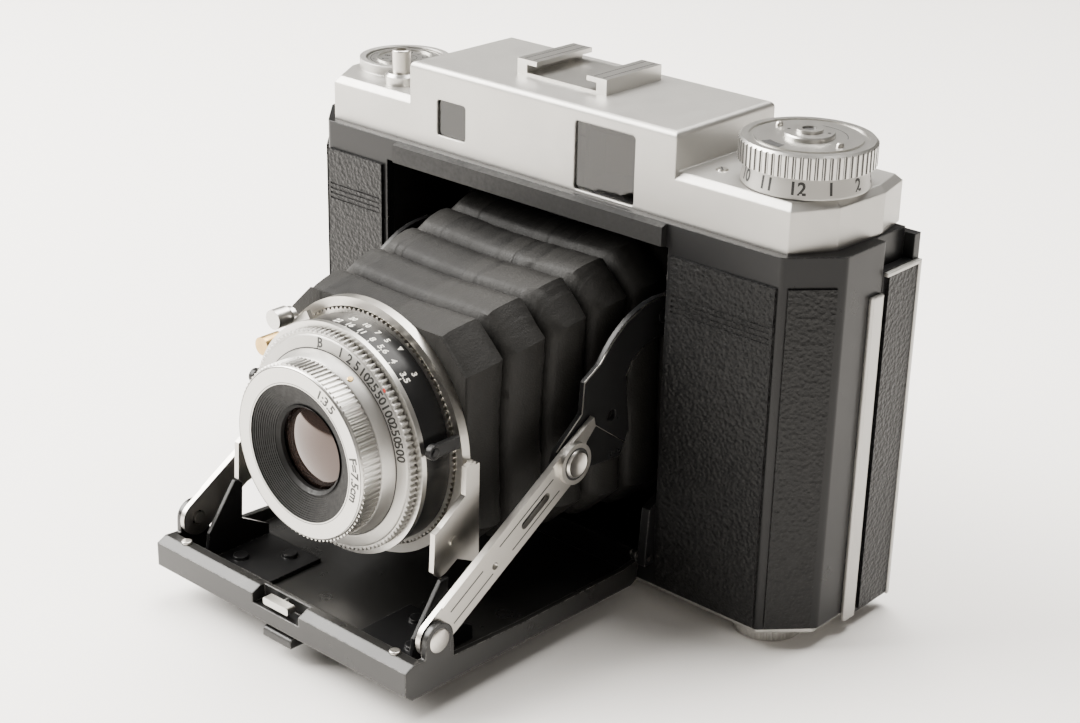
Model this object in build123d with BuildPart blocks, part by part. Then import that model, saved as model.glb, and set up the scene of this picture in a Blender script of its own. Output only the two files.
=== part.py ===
from build123d import *
import math
import os

os.makedirs("parts", exist_ok=True)

# Folding camera for 6 x 6 roll film, open and ready to shoot. Millimetres.
# Origin: mouth of the tripod socket. +X is to the right seen from the front, the lens
# looks along -Y, +Z is up, and Z = 0 is the table that the camera stands on.
FRONT_Y = -9.5        # front face of the body covers
COVER_Z = 4.5         # lower edge of the body covers

# Body
BODY_LEFT, BODY_RIGHT = -65.1, 72.9
BODY_MID = (BODY_LEFT + BODY_RIGHT) / 2
BODY_HEIGHT = 77.7
DOOR_INNER, DOOR_OUTER = 31.4, 33.4       # depths of the back door's two faces
CORNER_IN_X, CORNER_DEPTH = 8.3, 8.8      # chamfered front corners
WALL, THIN_WALL = 2.0, 1.2
MOUTH_HALF = 38.4                         # half width of the bellows opening
SILL, MOUTH_TOP = 6.0, 72.9
GATE_FRONT, GATE_BACK = 25.0, 27.0        # film gate plate
GATE_HALF = 28.0                          # 56 mm square picture
LENS_AXIS = 37.2                          # height of the lens axis over the cover edge

# Bed and struts
BED_HALF = 35.8
BED_SHEET = 1.2
BED_FRONT = -67.6
HINGE_DEPTH, HINGE_HEIGHT = -1.4, 6.2
BED_FLOOR, PAN_FLOOR = 1.8, 2.6
BED_WALL = -63.4
STRUT_PIVOT = (-58.8, 11.0)               # strut pivot on the bed (depth, height)
STRUT_JOINT = (-21.3, 33.6)               # joint between lower and upper strut
UPPER_PIVOT = (6.7, 55.6)                 # upper strut's pivot inside the body
STUD_PIVOT = (-49.4, 42.2)                # guide studs that carry the standard
LOWER_X = 33.3                            # inner faces of the strut layers
UPPER_X = 31.9
STRUT_SHEET = 1.1

# Shutter and lens, radii about the lens axis and depths of their front faces
RING_R, RING_DEPTH = 26.0, -42.9
CASE_R, FACE_R, SPEED_R = 23.0, 23.4, 22.15
FOCUS_R, NAME_R, NAME_BORE, NAME_DEPTH = 18.5, 17.33, 13.7, -60.4

# Controls
KNOB_AT = (57.9, 15.5)                    # advance knob and take-up spool (x, depth)
DIAL_AT = (-52.0, 18.8)
PLUNGER_AT = (-42.7, 8.7)
BASE_KNOB_X, BASE_KNOB_DEPTH, BASE_KNOB_R = 60.6, 9.9, 7.2
SPOOL_R, SPOOL_CORE_R = 11.5, 5.0
SUPPLY_X = -51.6
SHAFT_FIT = 0.06                          # radial running clearance


def dep(depth):
    return FRONT_Y + depth


def lev(height):
    return COVER_Z + height


def at_x(x):
    return Plane.YZ.offset(x)


def at_depth(depth):
    return Plane.XZ.offset(-dep(depth))


def at_height(height):
    return Plane.XY.offset(lev(height))


def lens_plane(depth):
    return Plane(origin=(0, dep(depth), lev(LENS_AXIS)), x_dir=(1, 0, 0), z_dir=(0, -1, 0))


def profile(points):
    """Side profile points, given as depth and height, in the frame of the model."""
    return [(dep(d), lev(h)) for d, h in points]


def plan(points):
    """Plan points, given as x and depth, in the frame of the model."""
    return [(x, dep(d)) for x, d in points]


def front_view(points):
    return [(x, lev(h)) for x, h in points]


def outline(points):
    return Polygon(*points, align=None)


def save(piece, label):
    piece.part.label = label
    export_step(piece.part, f"parts/{label}.step")


def ring(label, back, front, outer, inner):
    """Plain ring or disc about the lens axis between two depths."""
    with BuildPart() as piece:
        with BuildSketch(lens_plane(back)):
            Circle(outer)
            if inner:
                Circle(inner, mode=Mode.SUBTRACT)
        extrude(amount=back - front)
    save(piece, label)


def knurl(radius, count, depth_of_cut, plane, height):
    """Cut a ring of shallow grooves into the rim of the part being built."""
    with BuildSketch(plane) as grooves:
        with PolarLocations(radius, count):
            Circle(depth_of_cut)
    extrude(grooves.sketch, amount=height, mode=Mode.SUBTRACT)


def body_outline(inset=0.0, back=31.2):
    """Plan of the body: straight front, chamfered corners, square back."""
    left, right = BODY_LEFT + inset, BODY_RIGHT - inset
    corner = CORNER_IN_X - 0.4 * inset
    return plan([(left + corner, 0 + inset), (right - corner, 0 + inset),
                 (right, CORNER_DEPTH), (right, back), (left, back), (left, CORNER_DEPTH)])


# ---------------------------------------------------------------- body shell
END_REBATE = 2.2       # the door's flange wraps the right end in this rebate
REBATE_DEPTH = 21.2
CHAMBER_HALF = MOUTH_HALF + THIN_WALL     # half width over the lens chamber's walls
END_WALL = 1.5
SPOOL_BACK = 29.6
FILM_END, FILM_ENDS = 1.7, 9.3            # lands beside the film path: offset and total
SHAFT_R = 2.5                             # winding shaft
BUSH_HOLE_R = 6.0
LEFT_HINGE = (-63.5, 32.1)
DOOR_BARREL_R, DOOR_PIN_R = 1.4, 0.6
KNUCKLE_LOW, KNUCKLE_HIGH = 22.0, 54.0

with BuildPart() as body_shell:
    with BuildSketch(at_height(0)):
        outline(body_outline())
    extrude(amount=BODY_HEIGHT)
    fillet(body_shell.edges().filter_by(Axis.Z).sort_by(Axis.Y)[:4], 1.5)
    # mouth of the lens chamber in the front wall
    with BuildSketch(at_depth(WALL + 1)):
        with Locations((0, lev((SILL + MOUTH_TOP) / 2))):
            Rectangle(2 * MOUTH_HALF, MOUTH_TOP - SILL)
    extrude(amount=WALL + 2, mode=Mode.SUBTRACT)
    # room for the lens chamber, open at the back
    with BuildSketch(at_height(WALL)):
        outline(plan([(-CHAMBER_HALF, WALL), (CHAMBER_HALF, WALL),
                      (CHAMBER_HALF, DOOR_INNER), (-CHAMBER_HALF, DOOR_INNER)]))
    extrude(amount=BODY_HEIGHT - 2 * WALL, mode=Mode.SUBTRACT)
    # film path behind the gate
    with BuildSketch(at_depth(DOOR_INNER)):
        with Locations(((BODY_LEFT + BODY_RIGHT - FILM_END) / 2, lev(BODY_HEIGHT / 2))):
            Rectangle(BODY_RIGHT - BODY_LEFT - FILM_ENDS, BODY_HEIGHT - 2 * WALL)
    extrude(amount=DOOR_INNER - GATE_BACK, mode=Mode.SUBTRACT)
    # spool chambers
    for side, step in ((1, END_REBATE), (-1, 0.0)):
        outer = (BODY_RIGHT - BODY_LEFT) / 2 - END_WALL
        cut = [(BODY_MID + side * (outer - CORNER_IN_X + 0.8), WALL),
               (BODY_MID + side * outer, CORNER_DEPTH + 0.8),
               (BODY_MID + side * outer, REBATE_DEPTH - THIN_WALL),
               (BODY_MID + side * (outer - step), REBATE_DEPTH - THIN_WALL),
               (BODY_MID + side * (outer - step), SPOOL_BACK),
               (side * CHAMBER_HALF, SPOOL_BACK), (side * CHAMBER_HALF, WALL)]
        with BuildSketch(at_height(WALL)):
            outline(plan(cut))
        extrude(amount=BODY_HEIGHT - 2 * WALL, mode=Mode.SUBTRACT)
    # rebate for the door's flange and corner for the door's hinge
    with BuildSketch(at_height(-1)):
        with Locations((BODY_RIGHT, dep(REBATE_DEPTH + 10))):
            Rectangle(2 * END_REBATE, 20)
        with Locations((BODY_LEFT, dep(33))):
            Rectangle(6.4, 5.6)
    extrude(amount=BODY_HEIGHT + 2, mode=Mode.SUBTRACT)
    # middle hinge knuckle, on a web from the left end
    with BuildSketch(at_height(KNUCKLE_LOW)):
        with Locations((LEFT_HINGE[0], dep(LEFT_HINGE[1]))):
            Circle(DOOR_BARREL_R)
        with Locations((LEFT_HINGE[0], dep(30.8))):
            Rectangle(2 * DOOR_BARREL_R, 2.2)
    extrude(amount=KNUCKLE_HIGH - KNUCKLE_LOW)
    with BuildSketch(at_height(KNUCKLE_LOW - 1)):
        with Locations((LEFT_HINGE[0], dep(LEFT_HINGE[1]))):
            Circle(DOOR_PIN_R)
    extrude(amount=KNUCKLE_HIGH - KNUCKLE_LOW + 2, mode=Mode.SUBTRACT)
    # holes for the knob shaft, the plunger and the tripod bush
    with BuildSketch(at_height(BODY_HEIGHT - 4)):
        with Locations((KNOB_AT[0], dep(KNOB_AT[1]))):
            Circle(SHAFT_R + SHAFT_FIT)
        with Locations((PLUNGER_AT[0], dep(PLUNGER_AT[1]))):
            Circle(1.6)
    extrude(amount=6, mode=Mode.SUBTRACT)
    with BuildSketch(at_height(-1)):
        Circle(BUSH_HOLE_R)
    extrude(amount=WALL + 2, mode=Mode.SUBTRACT)
save(body_shell, "body_shell")

with BuildPart() as lens_chamber:
    with BuildSketch(at_height(WALL)):
        outline(plan([(-CHAMBER_HALF, WALL), (CHAMBER_HALF, WALL),
                      (CHAMBER_HALF, GATE_BACK), (-CHAMBER_HALF, GATE_BACK)]))
    extrude(amount=BODY_HEIGHT - 2 * WALL)
    # inside, open at the front
    with BuildSketch(at_depth(GATE_FRONT)):
        with Locations((0, lev((SILL + MOUTH_TOP) / 2))):
            Rectangle(2 * MOUTH_HALF, MOUTH_TOP - SILL)
    extrude(amount=GATE_FRONT, mode=Mode.SUBTRACT)
    # film gate
    with BuildSketch(at_depth(GATE_BACK + 1)):
        with Locations((0, lev(LENS_AXIS))):
            Rectangle(2 * GATE_HALF, 2 * GATE_HALF)
    extrude(amount=GATE_BACK - GATE_FRONT + 2, mode=Mode.SUBTRACT)
    with BuildSketch(at_height(0)):
        Circle(BUSH_HOLE_R)
    extrude(amount=SILL + 1, mode=Mode.SUBTRACT)
save(lens_chamber, "lens_chamber")

LEDGE_LEFT, LEDGE_RIGHT = -35.2, 37.8

with BuildPart() as light_ledge:
    with BuildSketch(at_x(LEDGE_LEFT)):
        outline(profile([(0, MOUTH_TOP), (-1.5, MOUTH_TOP + 0.4), (-1.5, BODY_HEIGHT - 0.6),
                         (0, BODY_HEIGHT - 0.1)]))
    extrude(amount=LEDGE_RIGHT - LEDGE_LEFT)
save(light_ledge, "light_ledge")

# ---------------------------------------------------------------- leather skins
LEATHER = 0.7
LEATHER_TOP, LEATHER_FOOT = 71.6, 0.6


def front_leather(side, label):
    """Skins of one side: the front panel with its ribbed band, and the chamfered corner."""
    near = 39.6
    end = BODY_MID + side * (BODY_RIGHT - BODY_LEFT) / 2
    edge = end - side * (CORNER_IN_X + 0.6)
    foot_x, foot_d = end - side * 0.88 * CORNER_IN_X, 0.12 * CORNER_DEPTH
    end_x, end_d = end - side * 0.12 * CORNER_IN_X, 0.88 * CORNER_DEPTH
    run = math.hypot(CORNER_IN_X, CORNER_DEPTH)
    off_x, off_d = side * 0.6 * CORNER_DEPTH / run, -0.6 * CORNER_IN_X / run
    with BuildPart() as skin:
        with BuildSketch(at_height(LEATHER_FOOT)):
            outline(plan([(side * near, 0), (edge, 0), (edge, -LEATHER), (side * near, -LEATHER)]))
            outline(plan([(foot_x, foot_d), (end_x, end_d), (end_x + off_x, end_d + off_d),
                          (foot_x + off_x, foot_d + off_d)]))
        extrude(amount=LEATHER_TOP - LEATHER_FOOT)
        with BuildSketch(at_depth(-LEATHER + 0.2)):
            with Locations([((side * near + edge) / 2, lev(60.6 + 1.1 * i)) for i in range(4)]):
                Rectangle(abs(edge - side * near) - 1.2, 0.45)
        extrude(amount=1, mode=Mode.SUBTRACT)
    save(skin, label)


front_leather(1, "front_leather_right")
front_leather(-1, "front_leather_left")

# ---------------------------------------------------------------- top housing
RAISED_LEFT, RAISED_RIGHT = -33.2, 37.7
PLATEAU, ROOF = 87.2, 95.0
ROOF_WALL = 1.2
EDGE_BEVEL = 1.3
FINDER = (20.2, 85.1, 15.4, 14.0)          # viewfinder window: x, height, width, height
RANGE_WINDOW = (-21.2, 84.65, 8.2, 7.7)    # rangefinder window
EYEPIECE = (14.0, 86.5)


def top_outline(inset):
    return plan([(-56.6 + inset, 1.9 + inset), (64.4 - inset, 1.9 + inset),
                 (69.4 - inset, 10.4), (70.2 - inset, 24), (68.2 - inset, 32.8 - inset),
                 (-60.4 + inset, 32.8 - inset), (-62.4 + inset, 24), (-61.6 + inset, 10.4)])


with BuildPart() as top_housing:
    with BuildSketch(at_height(BODY_HEIGHT)):
        outline(top_outline(0))
    extrude(amount=PLATEAU - BODY_HEIGHT - EDGE_BEVEL)
    with BuildSketch(at_height(PLATEAU - EDGE_BEVEL)):
        outline(top_outline(0))
    extrude(amount=EDGE_BEVEL, taper=45)
    with BuildSketch(at_height(PLATEAU - EDGE_BEVEL)):
        outline(plan([(RAISED_LEFT, 1.9), (RAISED_RIGHT, 1.9), (RAISED_RIGHT, 32.8),
                      (RAISED_LEFT, 32.8)]))
    extrude(amount=ROOF - PLATEAU + EDGE_BEVEL)
    fillet(top_housing.edges().group_by(Axis.Z)[-1], 1.2)
    # hollow inside
    with BuildSketch(at_height(BODY_HEIGHT - 1)):
        outline(top_outline(ROOF_WALL + 0.4))
    extrude(amount=PLATEAU - BODY_HEIGHT + 1 - ROOF_WALL, mode=Mode.SUBTRACT)
    with BuildSketch(at_height(PLATEAU - 3)):
        outline(plan([(RAISED_LEFT + ROOF_WALL, 1.9 + ROOF_WALL),
                      (RAISED_RIGHT - ROOF_WALL, 1.9 + ROOF_WALL),
                      (RAISED_RIGHT - ROOF_WALL, 32.8 - ROOF_WALL),
                      (RAISED_LEFT + ROOF_WALL, 32.8 - ROOF_WALL)]))
    extrude(amount=ROOF - PLATEAU + 3 - ROOF_WALL, mode=Mode.SUBTRACT)
    # windows
    for x, height, width, tall in (FINDER, RANGE_WINDOW):
        with BuildSketch(at_depth(4)):
            with Locations((x, lev(height))):
                RectangleRounded(width, tall, 0.8)
        extrude(amount=4, mode=Mode.SUBTRACT)
    with BuildSketch(at_depth(35)):
        with Locations((EYEPIECE[0], lev(EYEPIECE[1]))):
            Circle(4.5)
    extrude(amount=5, mode=Mode.SUBTRACT)
    # holes for the knob shaft and the release plunger
    with BuildSketch(at_height(PLATEAU - 3)):
        with Locations((KNOB_AT[0], dep(KNOB_AT[1]))):
            Circle(SHAFT_R + SHAFT_FIT)
        with Locations((PLUNGER_AT[0], dep(PLUNGER_AT[1]))):
            Circle(2.6)
        with Locations((DIAL_AT[0], dep(DIAL_AT[1]))):
            Circle(1.5 + SHAFT_FIT)
    extrude(amount=5, mode=Mode.SUBTRACT)
    # raised rim round the memo dial
    with BuildSketch(at_height(PLATEAU)):
        with Locations((DIAL_AT[0], dep(DIAL_AT[1]))):
            Circle(10.0)
            Circle(8.6, mode=Mode.SUBTRACT)
    extrude(amount=2.2)
save(top_housing, "top_housing")


def window(spec, label):
    """Window glass set in the housing's front wall."""
    x, height, width, tall = spec
    with BuildPart() as pane:
        with BuildSketch(at_depth(3.4)):
            with Locations((x, lev(height))):
                RectangleRounded(width - 0.1, tall - 0.1, 0.75)
        extrude(amount=1.0)
    save(pane, label)


window(FINDER, "finder_window")
window(RANGE_WINDOW, "range_window")

with BuildPart() as finder_tunnel:
    with BuildSketch(at_depth(30)):
        with Locations((FINDER[0], lev(FINDER[1]))):
            Rectangle(13.5, 12.5)
            Rectangle(11.5, 10.5, mode=Mode.SUBTRACT)
    extrude(amount=25.5)
save(finder_tunnel, "finder_tunnel")

with BuildPart() as eyepiece:
    with BuildSketch(at_depth(34.2)):
        with Locations((EYEPIECE[0], lev(EYEPIECE[1]))):
            Circle(4.45)
            Circle(3.2, mode=Mode.SUBTRACT)
    extrude(amount=3)
    with BuildSketch(at_depth(34.2)):
        with Locations((EYEPIECE[0], lev(EYEPIECE[1]))):
            Circle(5.8)
            Circle(3.2, mode=Mode.SUBTRACT)
    extrude(amount=1.3)
save(eyepiece, "eyepiece")

with BuildPart() as eyepiece_glass:
    with BuildSketch(at_depth(33.2)):
        with Locations((EYEPIECE[0], lev(EYEPIECE[1]))):
            Circle(3.15)
    extrude(amount=1.2)
save(eyepiece_glass, "eyepiece_glass")

# ---------------------------------------------------------------- accessory shoe
SHOE_LEFT, SHOE_RIGHT = -11.5, 12.3
SHOE_FRONT, SHOE_BACK = 11.3, 28.5
RAIL, LIP_TOP, SLOT_TALL = 5.2, 98.2, 1.7

with BuildPart() as accessory_shoe:
    with BuildSketch(at_height(ROOF)):
        outline(plan([(SHOE_LEFT, SHOE_FRONT), (SHOE_RIGHT, SHOE_FRONT), (SHOE_RIGHT, SHOE_BACK),
                      (SHOE_LEFT, SHOE_BACK)]))
    extrude(amount=LIP_TOP - ROOF)
    with BuildSketch(at_depth(40)):
        outline(front_view([(SHOE_LEFT + RAIL, ROOF + 0.5), (SHOE_RIGHT - RAIL, ROOF + 0.5),
                            (SHOE_RIGHT - RAIL, LIP_TOP + 1), (SHOE_LEFT + RAIL, LIP_TOP + 1)]))
        outline(front_view([(SHOE_LEFT + RAIL / 2, ROOF + 0.5), (SHOE_RIGHT - RAIL / 2, ROOF + 0.5),
                            (SHOE_RIGHT - RAIL / 2, ROOF + 0.5 + SLOT_TALL),
                            (SHOE_LEFT + RAIL / 2, ROOF + 0.5 + SLOT_TALL)]))
    extrude(amount=40, mode=Mode.SUBTRACT)
save(accessory_shoe, "accessory_shoe")

# ---------------------------------------------------------------- top controls
PLUNGER_R, PLUNGER_LOW, PLUNGER_TOP = 2.0, 84.0, 94.5
COLLAR_R, COLLAR_TALL = 3.6, 2.4
CABLE_R, CABLE_DEEP = 1.1, 3.4            # thread for a cable release

with BuildPart() as release_collar:
    with BuildSketch(at_height(PLATEAU)):
        with Locations((PLUNGER_AT[0], dep(PLUNGER_AT[1]))):
            Circle(COLLAR_R)
            Circle(PLUNGER_R + SHAFT_FIT, mode=Mode.SUBTRACT)
    extrude(amount=COLLAR_TALL)
    chamfer(release_collar.edges().group_by(Axis.Z)[-1].sort_by(SortBy.LENGTH)[-1:], 0.6)
    with BuildSketch(at_height(PLATEAU)):
        with Locations((PLUNGER_AT[0], dep(PLUNGER_AT[1]))):
            Circle(2.55)
            Circle(PLUNGER_R + SHAFT_FIT, mode=Mode.SUBTRACT)
    extrude(amount=-1.2)
save(release_collar, "release_collar")

with BuildPart() as release_plunger:
    with BuildSketch(at_height(PLUNGER_LOW)):
        with Locations((PLUNGER_AT[0], dep(PLUNGER_AT[1]))):
            Circle(PLUNGER_R)
    extrude(amount=PLUNGER_TOP - PLUNGER_LOW)
    fillet(release_plunger.edges().group_by(Axis.Z)[-1], 0.4)
    with BuildSketch(at_height(PLUNGER_TOP)):
        with Locations((PLUNGER_AT[0], dep(PLUNGER_AT[1]))):
            Circle(CABLE_R)
    extrude(amount=-CABLE_DEEP, mode=Mode.SUBTRACT)
save(release_plunger, "release_plunger")

with BuildPart() as memo_dial:
    with BuildSketch(at_height(PLATEAU + 0.5)):
        with Locations((DIAL_AT[0], dep(DIAL_AT[1]))):
            Circle(8.3)
    extrude(amount=1.3)
    with BuildSketch(at_height(PLATEAU + 1.8)):
        with Locations((DIAL_AT[0], dep(DIAL_AT[1]))):
            Circle(6.4)
            Circle(5.9, mode=Mode.SUBTRACT)
            Circle(1.6)
    extrude(amount=0.4)
    with BuildSketch(at_height(PLATEAU - 1.1)):
        with Locations((DIAL_AT[0], dep(DIAL_AT[1]))):
            Circle(1.5)
    extrude(amount=2.0)
save(memo_dial, "memo_dial")

KNOB_FOOT, KNOB_TOP = 91.5, 96.0

with BuildPart() as counter_skirt:
    with BuildSketch(at_height(PLATEAU + 0.2)):
        with Locations((KNOB_AT[0], dep(KNOB_AT[1]))):
            Circle(12.2)
    extrude(amount=KNOB_FOOT - PLATEAU - 0.2, taper=9)
    with BuildSketch(at_height(PLATEAU)):
        with Locations((KNOB_AT[0], dep(KNOB_AT[1]))):
            Circle(2.6)
    extrude(amount=5, mode=Mode.SUBTRACT)
save(counter_skirt, "counter_skirt")

with BuildPart() as advance_knob:
    knob_plane = Plane(origin=(KNOB_AT[0], dep(KNOB_AT[1]), lev(KNOB_FOOT)))
    with BuildSketch(knob_plane):
        Circle(13.0)
    extrude(amount=KNOB_TOP - KNOB_FOOT)
    chamfer(advance_knob.edges().group_by(Axis.Z)[-1], 0.5)
    knurl(13.2, 60, 0.42, knob_plane, KNOB_TOP - KNOB_FOOT)
    # dished top with a raised rim
    with BuildSketch(knob_plane.offset(KNOB_TOP - KNOB_FOOT)):
        Circle(11.2)
        Circle(10.2, mode=Mode.SUBTRACT)
    extrude(amount=-0.4, mode=Mode.SUBTRACT)
    # stepped boss with a hollow centre
    for radius, foot, tall in ((4.0, 0.0, 0.7), (2.6, 0.7, 0.8)):
        with BuildSketch(knob_plane.offset(KNOB_TOP - KNOB_FOOT + foot)):
            Circle(radius)
        extrude(amount=tall)
    with BuildSketch(knob_plane.offset(KNOB_TOP - KNOB_FOOT + 1.0)):
        Circle(1.4)
    extrude(amount=1, mode=Mode.SUBTRACT)
save(advance_knob, "advance_knob")

SHAFT_LOW = 71.0

with BuildPart() as winding_shaft:
    with BuildSketch(at_height(SHAFT_LOW)):
        with Locations((KNOB_AT[0], dep(KNOB_AT[1]))):
            Circle(SHAFT_R)
    extrude(amount=KNOB_FOOT - SHAFT_LOW)
save(winding_shaft, "winding_shaft")

# ---------------------------------------------------------------- bottom
with BuildPart() as bottom_plate:
    with BuildSketch(at_height(0)):
        outline(body_outline(0.9, 30.2))
        with Locations((72, dep(30))):
            Rectangle(7, 17.6, mode=Mode.SUBTRACT)
    extrude(amount=-1.2)
    with BuildSketch(at_height(0)):
        Circle(BUSH_HOLE_R)
        with Locations((BASE_KNOB_X, dep(BASE_KNOB_DEPTH)),
                       (2 * BODY_MID - BASE_KNOB_X, dep(BASE_KNOB_DEPTH))):
            Circle(2.0 + SHAFT_FIT)
    extrude(amount=-2, mode=Mode.SUBTRACT)
save(bottom_plate, "bottom_plate")

SOCKET_R, SOCKET_DEEP = 3.175, 7.0        # 1/4 inch tripod thread
PLATE = 1.2                               # thickness of the bottom plate
BUSH_R, BUSH_NECK_R, BUSH_NECK = 10.0, 5.9, 6.6

with BuildPart() as tripod_bush:
    with BuildSketch(Plane.XY):
        Circle(BUSH_R)
    extrude(amount=COVER_Z - PLATE)
    chamfer(tripod_bush.edges().group_by(Axis.Z)[0], 0.5)
    with BuildSketch(Plane.XY.offset(COVER_Z - PLATE)):
        Circle(BUSH_NECK_R)
    extrude(amount=BUSH_NECK)
    with BuildSketch(Plane.XY):
        Circle(SOCKET_R)
    extrude(amount=SOCKET_DEEP, mode=Mode.SUBTRACT)
save(tripod_bush, "tripod_bush")


def base_knob(x, label):
    """Knurled spool-centre knob under one end of the body, with its short shaft."""
    with BuildPart() as knob:
        foot = Plane(origin=(x, dep(BASE_KNOB_DEPTH), 0))
        with BuildSketch(foot):
            Circle(BASE_KNOB_R)
        extrude(amount=COVER_Z - PLATE - 0.2)
        chamfer(knob.edges().group_by(Axis.Z)[0], 0.4)
        knurl(BASE_KNOB_R + 0.15, 40, 0.38, foot, COVER_Z)
        with BuildSketch(foot.offset(COVER_Z - PLATE - 0.2)):
            Circle(2.0)
        extrude(amount=1.3)
    save(knob, label)


base_knob(BASE_KNOB_X, "base_knob_right")
base_knob(2 * BODY_MID - BASE_KNOB_X, "base_knob_left")

# ---------------------------------------------------------------- back door
with BuildPart() as back_door:
    with BuildSketch(at_height(0.3)):
        outline(plan([(-61.6, DOOR_INNER), (BODY_RIGHT - 2.0, DOOR_INNER),
                      (BODY_RIGHT, DOOR_INNER), (BODY_RIGHT, DOOR_OUTER), (-61.6, DOOR_OUTER)]))
    extrude(amount=76.2)
    with BuildSketch(at_height(-2.0)):
        with Locations((BODY_RIGHT - 0.95, dep(27.4))):
            Rectangle(1.9, 12.0)
    extrude(amount=73.5)
    for low, high in ((1.0, KNUCKLE_LOW - 0.3), (KNUCKLE_HIGH + 0.3, 75.5)):
        with BuildSketch(at_height(low)):
            with Locations((LEFT_HINGE[0], dep(LEFT_HINGE[1]))):
                Circle(DOOR_BARREL_R)
            with Locations((LEFT_HINGE[0] + 1.2, dep(32.7))):
                Rectangle(2.4, 1.4)
        extrude(amount=high - low)
        with BuildSketch(at_height(low - 1)):
            with Locations((LEFT_HINGE[0], dep(LEFT_HINGE[1]))):
                Circle(DOOR_PIN_R + SHAFT_FIT)
        extrude(amount=high - low + 2, mode=Mode.SUBTRACT)
save(back_door, "back_door")

with BuildPart() as door_hinge_pin:
    with BuildSketch(at_height(0.6)):
        with Locations((LEFT_HINGE[0], dep(LEFT_HINGE[1]))):
            Circle(DOOR_PIN_R)
    extrude(amount=75.4)
save(door_hinge_pin, "door_hinge_pin")

with BuildPart() as door_leather:
    with BuildSketch(at_depth(DOOR_OUTER + LEATHER)):
        with Locations((5.5, lev(38.0))):
            RectangleRounded(130.0, 70.0, 2.0)
    extrude(amount=LEATHER)
    with BuildSketch(at_x(BODY_RIGHT)):
        outline(profile([(22.6, -1.0), (32.4, -1.0), (32.4, 70.4), (22.6, 70.4)]))
    extrude(amount=LEATHER)
save(door_leather, "door_leather")

with BuildPart() as pressure_plate:
    with BuildSketch(at_depth(28.8)):
        with Locations((0, lev(LENS_AXIS))):
            RectangleRounded(66, 62, 3)
    extrude(amount=1.2)
    # bowed leaf spring between the plate and the door
    with BuildSketch(at_height(LENS_AXIS - 4)):
        outline(plan([(-24, 28.7), (-18, 28.7), (-3, 30.9), (3, 30.9), (18, 28.7), (24, 28.7),
                      (24, 29.2), (18, 29.2), (3, 31.4), (-3, 31.4), (-18, 29.2), (-24, 29.2)]))
    extrude(amount=8)
save(pressure_plate, "pressure_plate")

LATCH_FOOT, LATCH_TOP = -1.5, 67.5

with BuildPart() as door_latch:
    with BuildSketch(at_height(LATCH_FOOT)):
        with Locations((BODY_RIGHT + 0.55, dep(19.0))):
            Rectangle(1.0, 3.8)
    extrude(amount=LATCH_TOP - LATCH_FOOT)
    chamfer(door_latch.edges().filter_by(Axis.Z).group_by(Axis.X)[-1], 0.35)
save(door_latch, "door_latch")


# ---------------------------------------------------------------- film spools
def spool(x, label):
    """Roll-film spool: slotted core between two flanges."""
    low, high, flange, key_r = 4.4, 69.8, 1.0, 2.0
    with BuildPart() as reel:
        axis_plane = Plane(origin=(x, dep(KNOB_AT[1]), lev(low)))
        with BuildSketch(axis_plane):
            Circle(SPOOL_R)
        extrude(amount=flange)
        with BuildSketch(axis_plane.offset(flange)):
            Circle(SPOOL_CORE_R)
        extrude(amount=high - low - 2 * flange)
        with BuildSketch(axis_plane.offset(high - low - flange)):
            Circle(SPOOL_R)
        extrude(amount=flange)
        with BuildSketch(axis_plane):
            Circle(key_r)
        extrude(amount=high - low, mode=Mode.SUBTRACT)
    save(reel, label)


spool(KNOB_AT[0], "take_up_spool")
spool(SUPPLY_X, "supply_spool")

# ---------------------------------------------------------------- bed
BARREL_R, BED_PIN_R = 1.25, 0.6
bed_side = [(HINGE_DEPTH, HINGE_HEIGHT - 1.0), (-6.2, 4.6), (-36.6, 5.2), (-57.0, 6.4), (-60.6, 8.2),
            (-65.4, 8.6), (BED_FRONT, 7.6), (BED_FRONT, 2.6), (-65.9, 1.4), (HINGE_DEPTH - 2.4, 0.1),
            (HINGE_DEPTH - 0.6, 0.9)]

with BuildPart() as bed:
    with BuildSketch(at_x(-BED_HALF)):
        outline(profile(bed_side))
    extrude(amount=2 * BED_HALF)
    # pan inside the walls
    with BuildSketch(at_x(-BED_HALF + BED_SHEET)):
        outline(profile([(2, BED_FLOOR), (-42, PAN_FLOOR), (BED_WALL, PAN_FLOOR), (BED_WALL, 12), (2, 12)]))
    extrude(amount=2 * (BED_HALF - BED_SHEET), mode=Mode.SUBTRACT)
    # ears for the strut pivots and knuckles for the hinge
    for x in (-BED_HALF, BED_HALF - BED_SHEET):
        with BuildSketch(at_x(x)):
            with BuildLine():
                Polyline(*profile([(-62.3, 11.0), (-62.6, 5.0), (-55.0, 5.0), (-55.3, 11.0)]))
                ThreePointArc(*profile([(-55.3, 11.0), (-58.8, 14.5), (-62.3, 11.0)]))
            make_face()
            with Locations((dep(HINGE_DEPTH), lev(HINGE_HEIGHT))):
                Circle(BARREL_R)
        extrude(amount=BED_SHEET)
        with BuildSketch(at_x(x)):
            with Locations((dep(STRUT_PIVOT[0]), lev(STRUT_PIVOT[1]))):
                Circle(1.2)
            with Locations((dep(HINGE_DEPTH), lev(HINGE_HEIGHT))):
                Circle(BED_PIN_R + SHAFT_FIT)
        extrude(amount=BED_SHEET, mode=Mode.SUBTRACT)
    # recess for the latch tab in the front wall
    with BuildSketch(at_depth(BED_FRONT + 3.2)):
        with Locations((0.2, lev(7.4))):
            Rectangle(13.3, 3.6)
    extrude(amount=4, mode=Mode.SUBTRACT)
    with BuildSketch(at_depth(BED_WALL + 1)):
        with Locations((0, lev(7.2))):
            Circle(0.5 + SHAFT_FIT)
    extrude(amount=4, mode=Mode.SUBTRACT)
save(bed, "bed")

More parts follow.
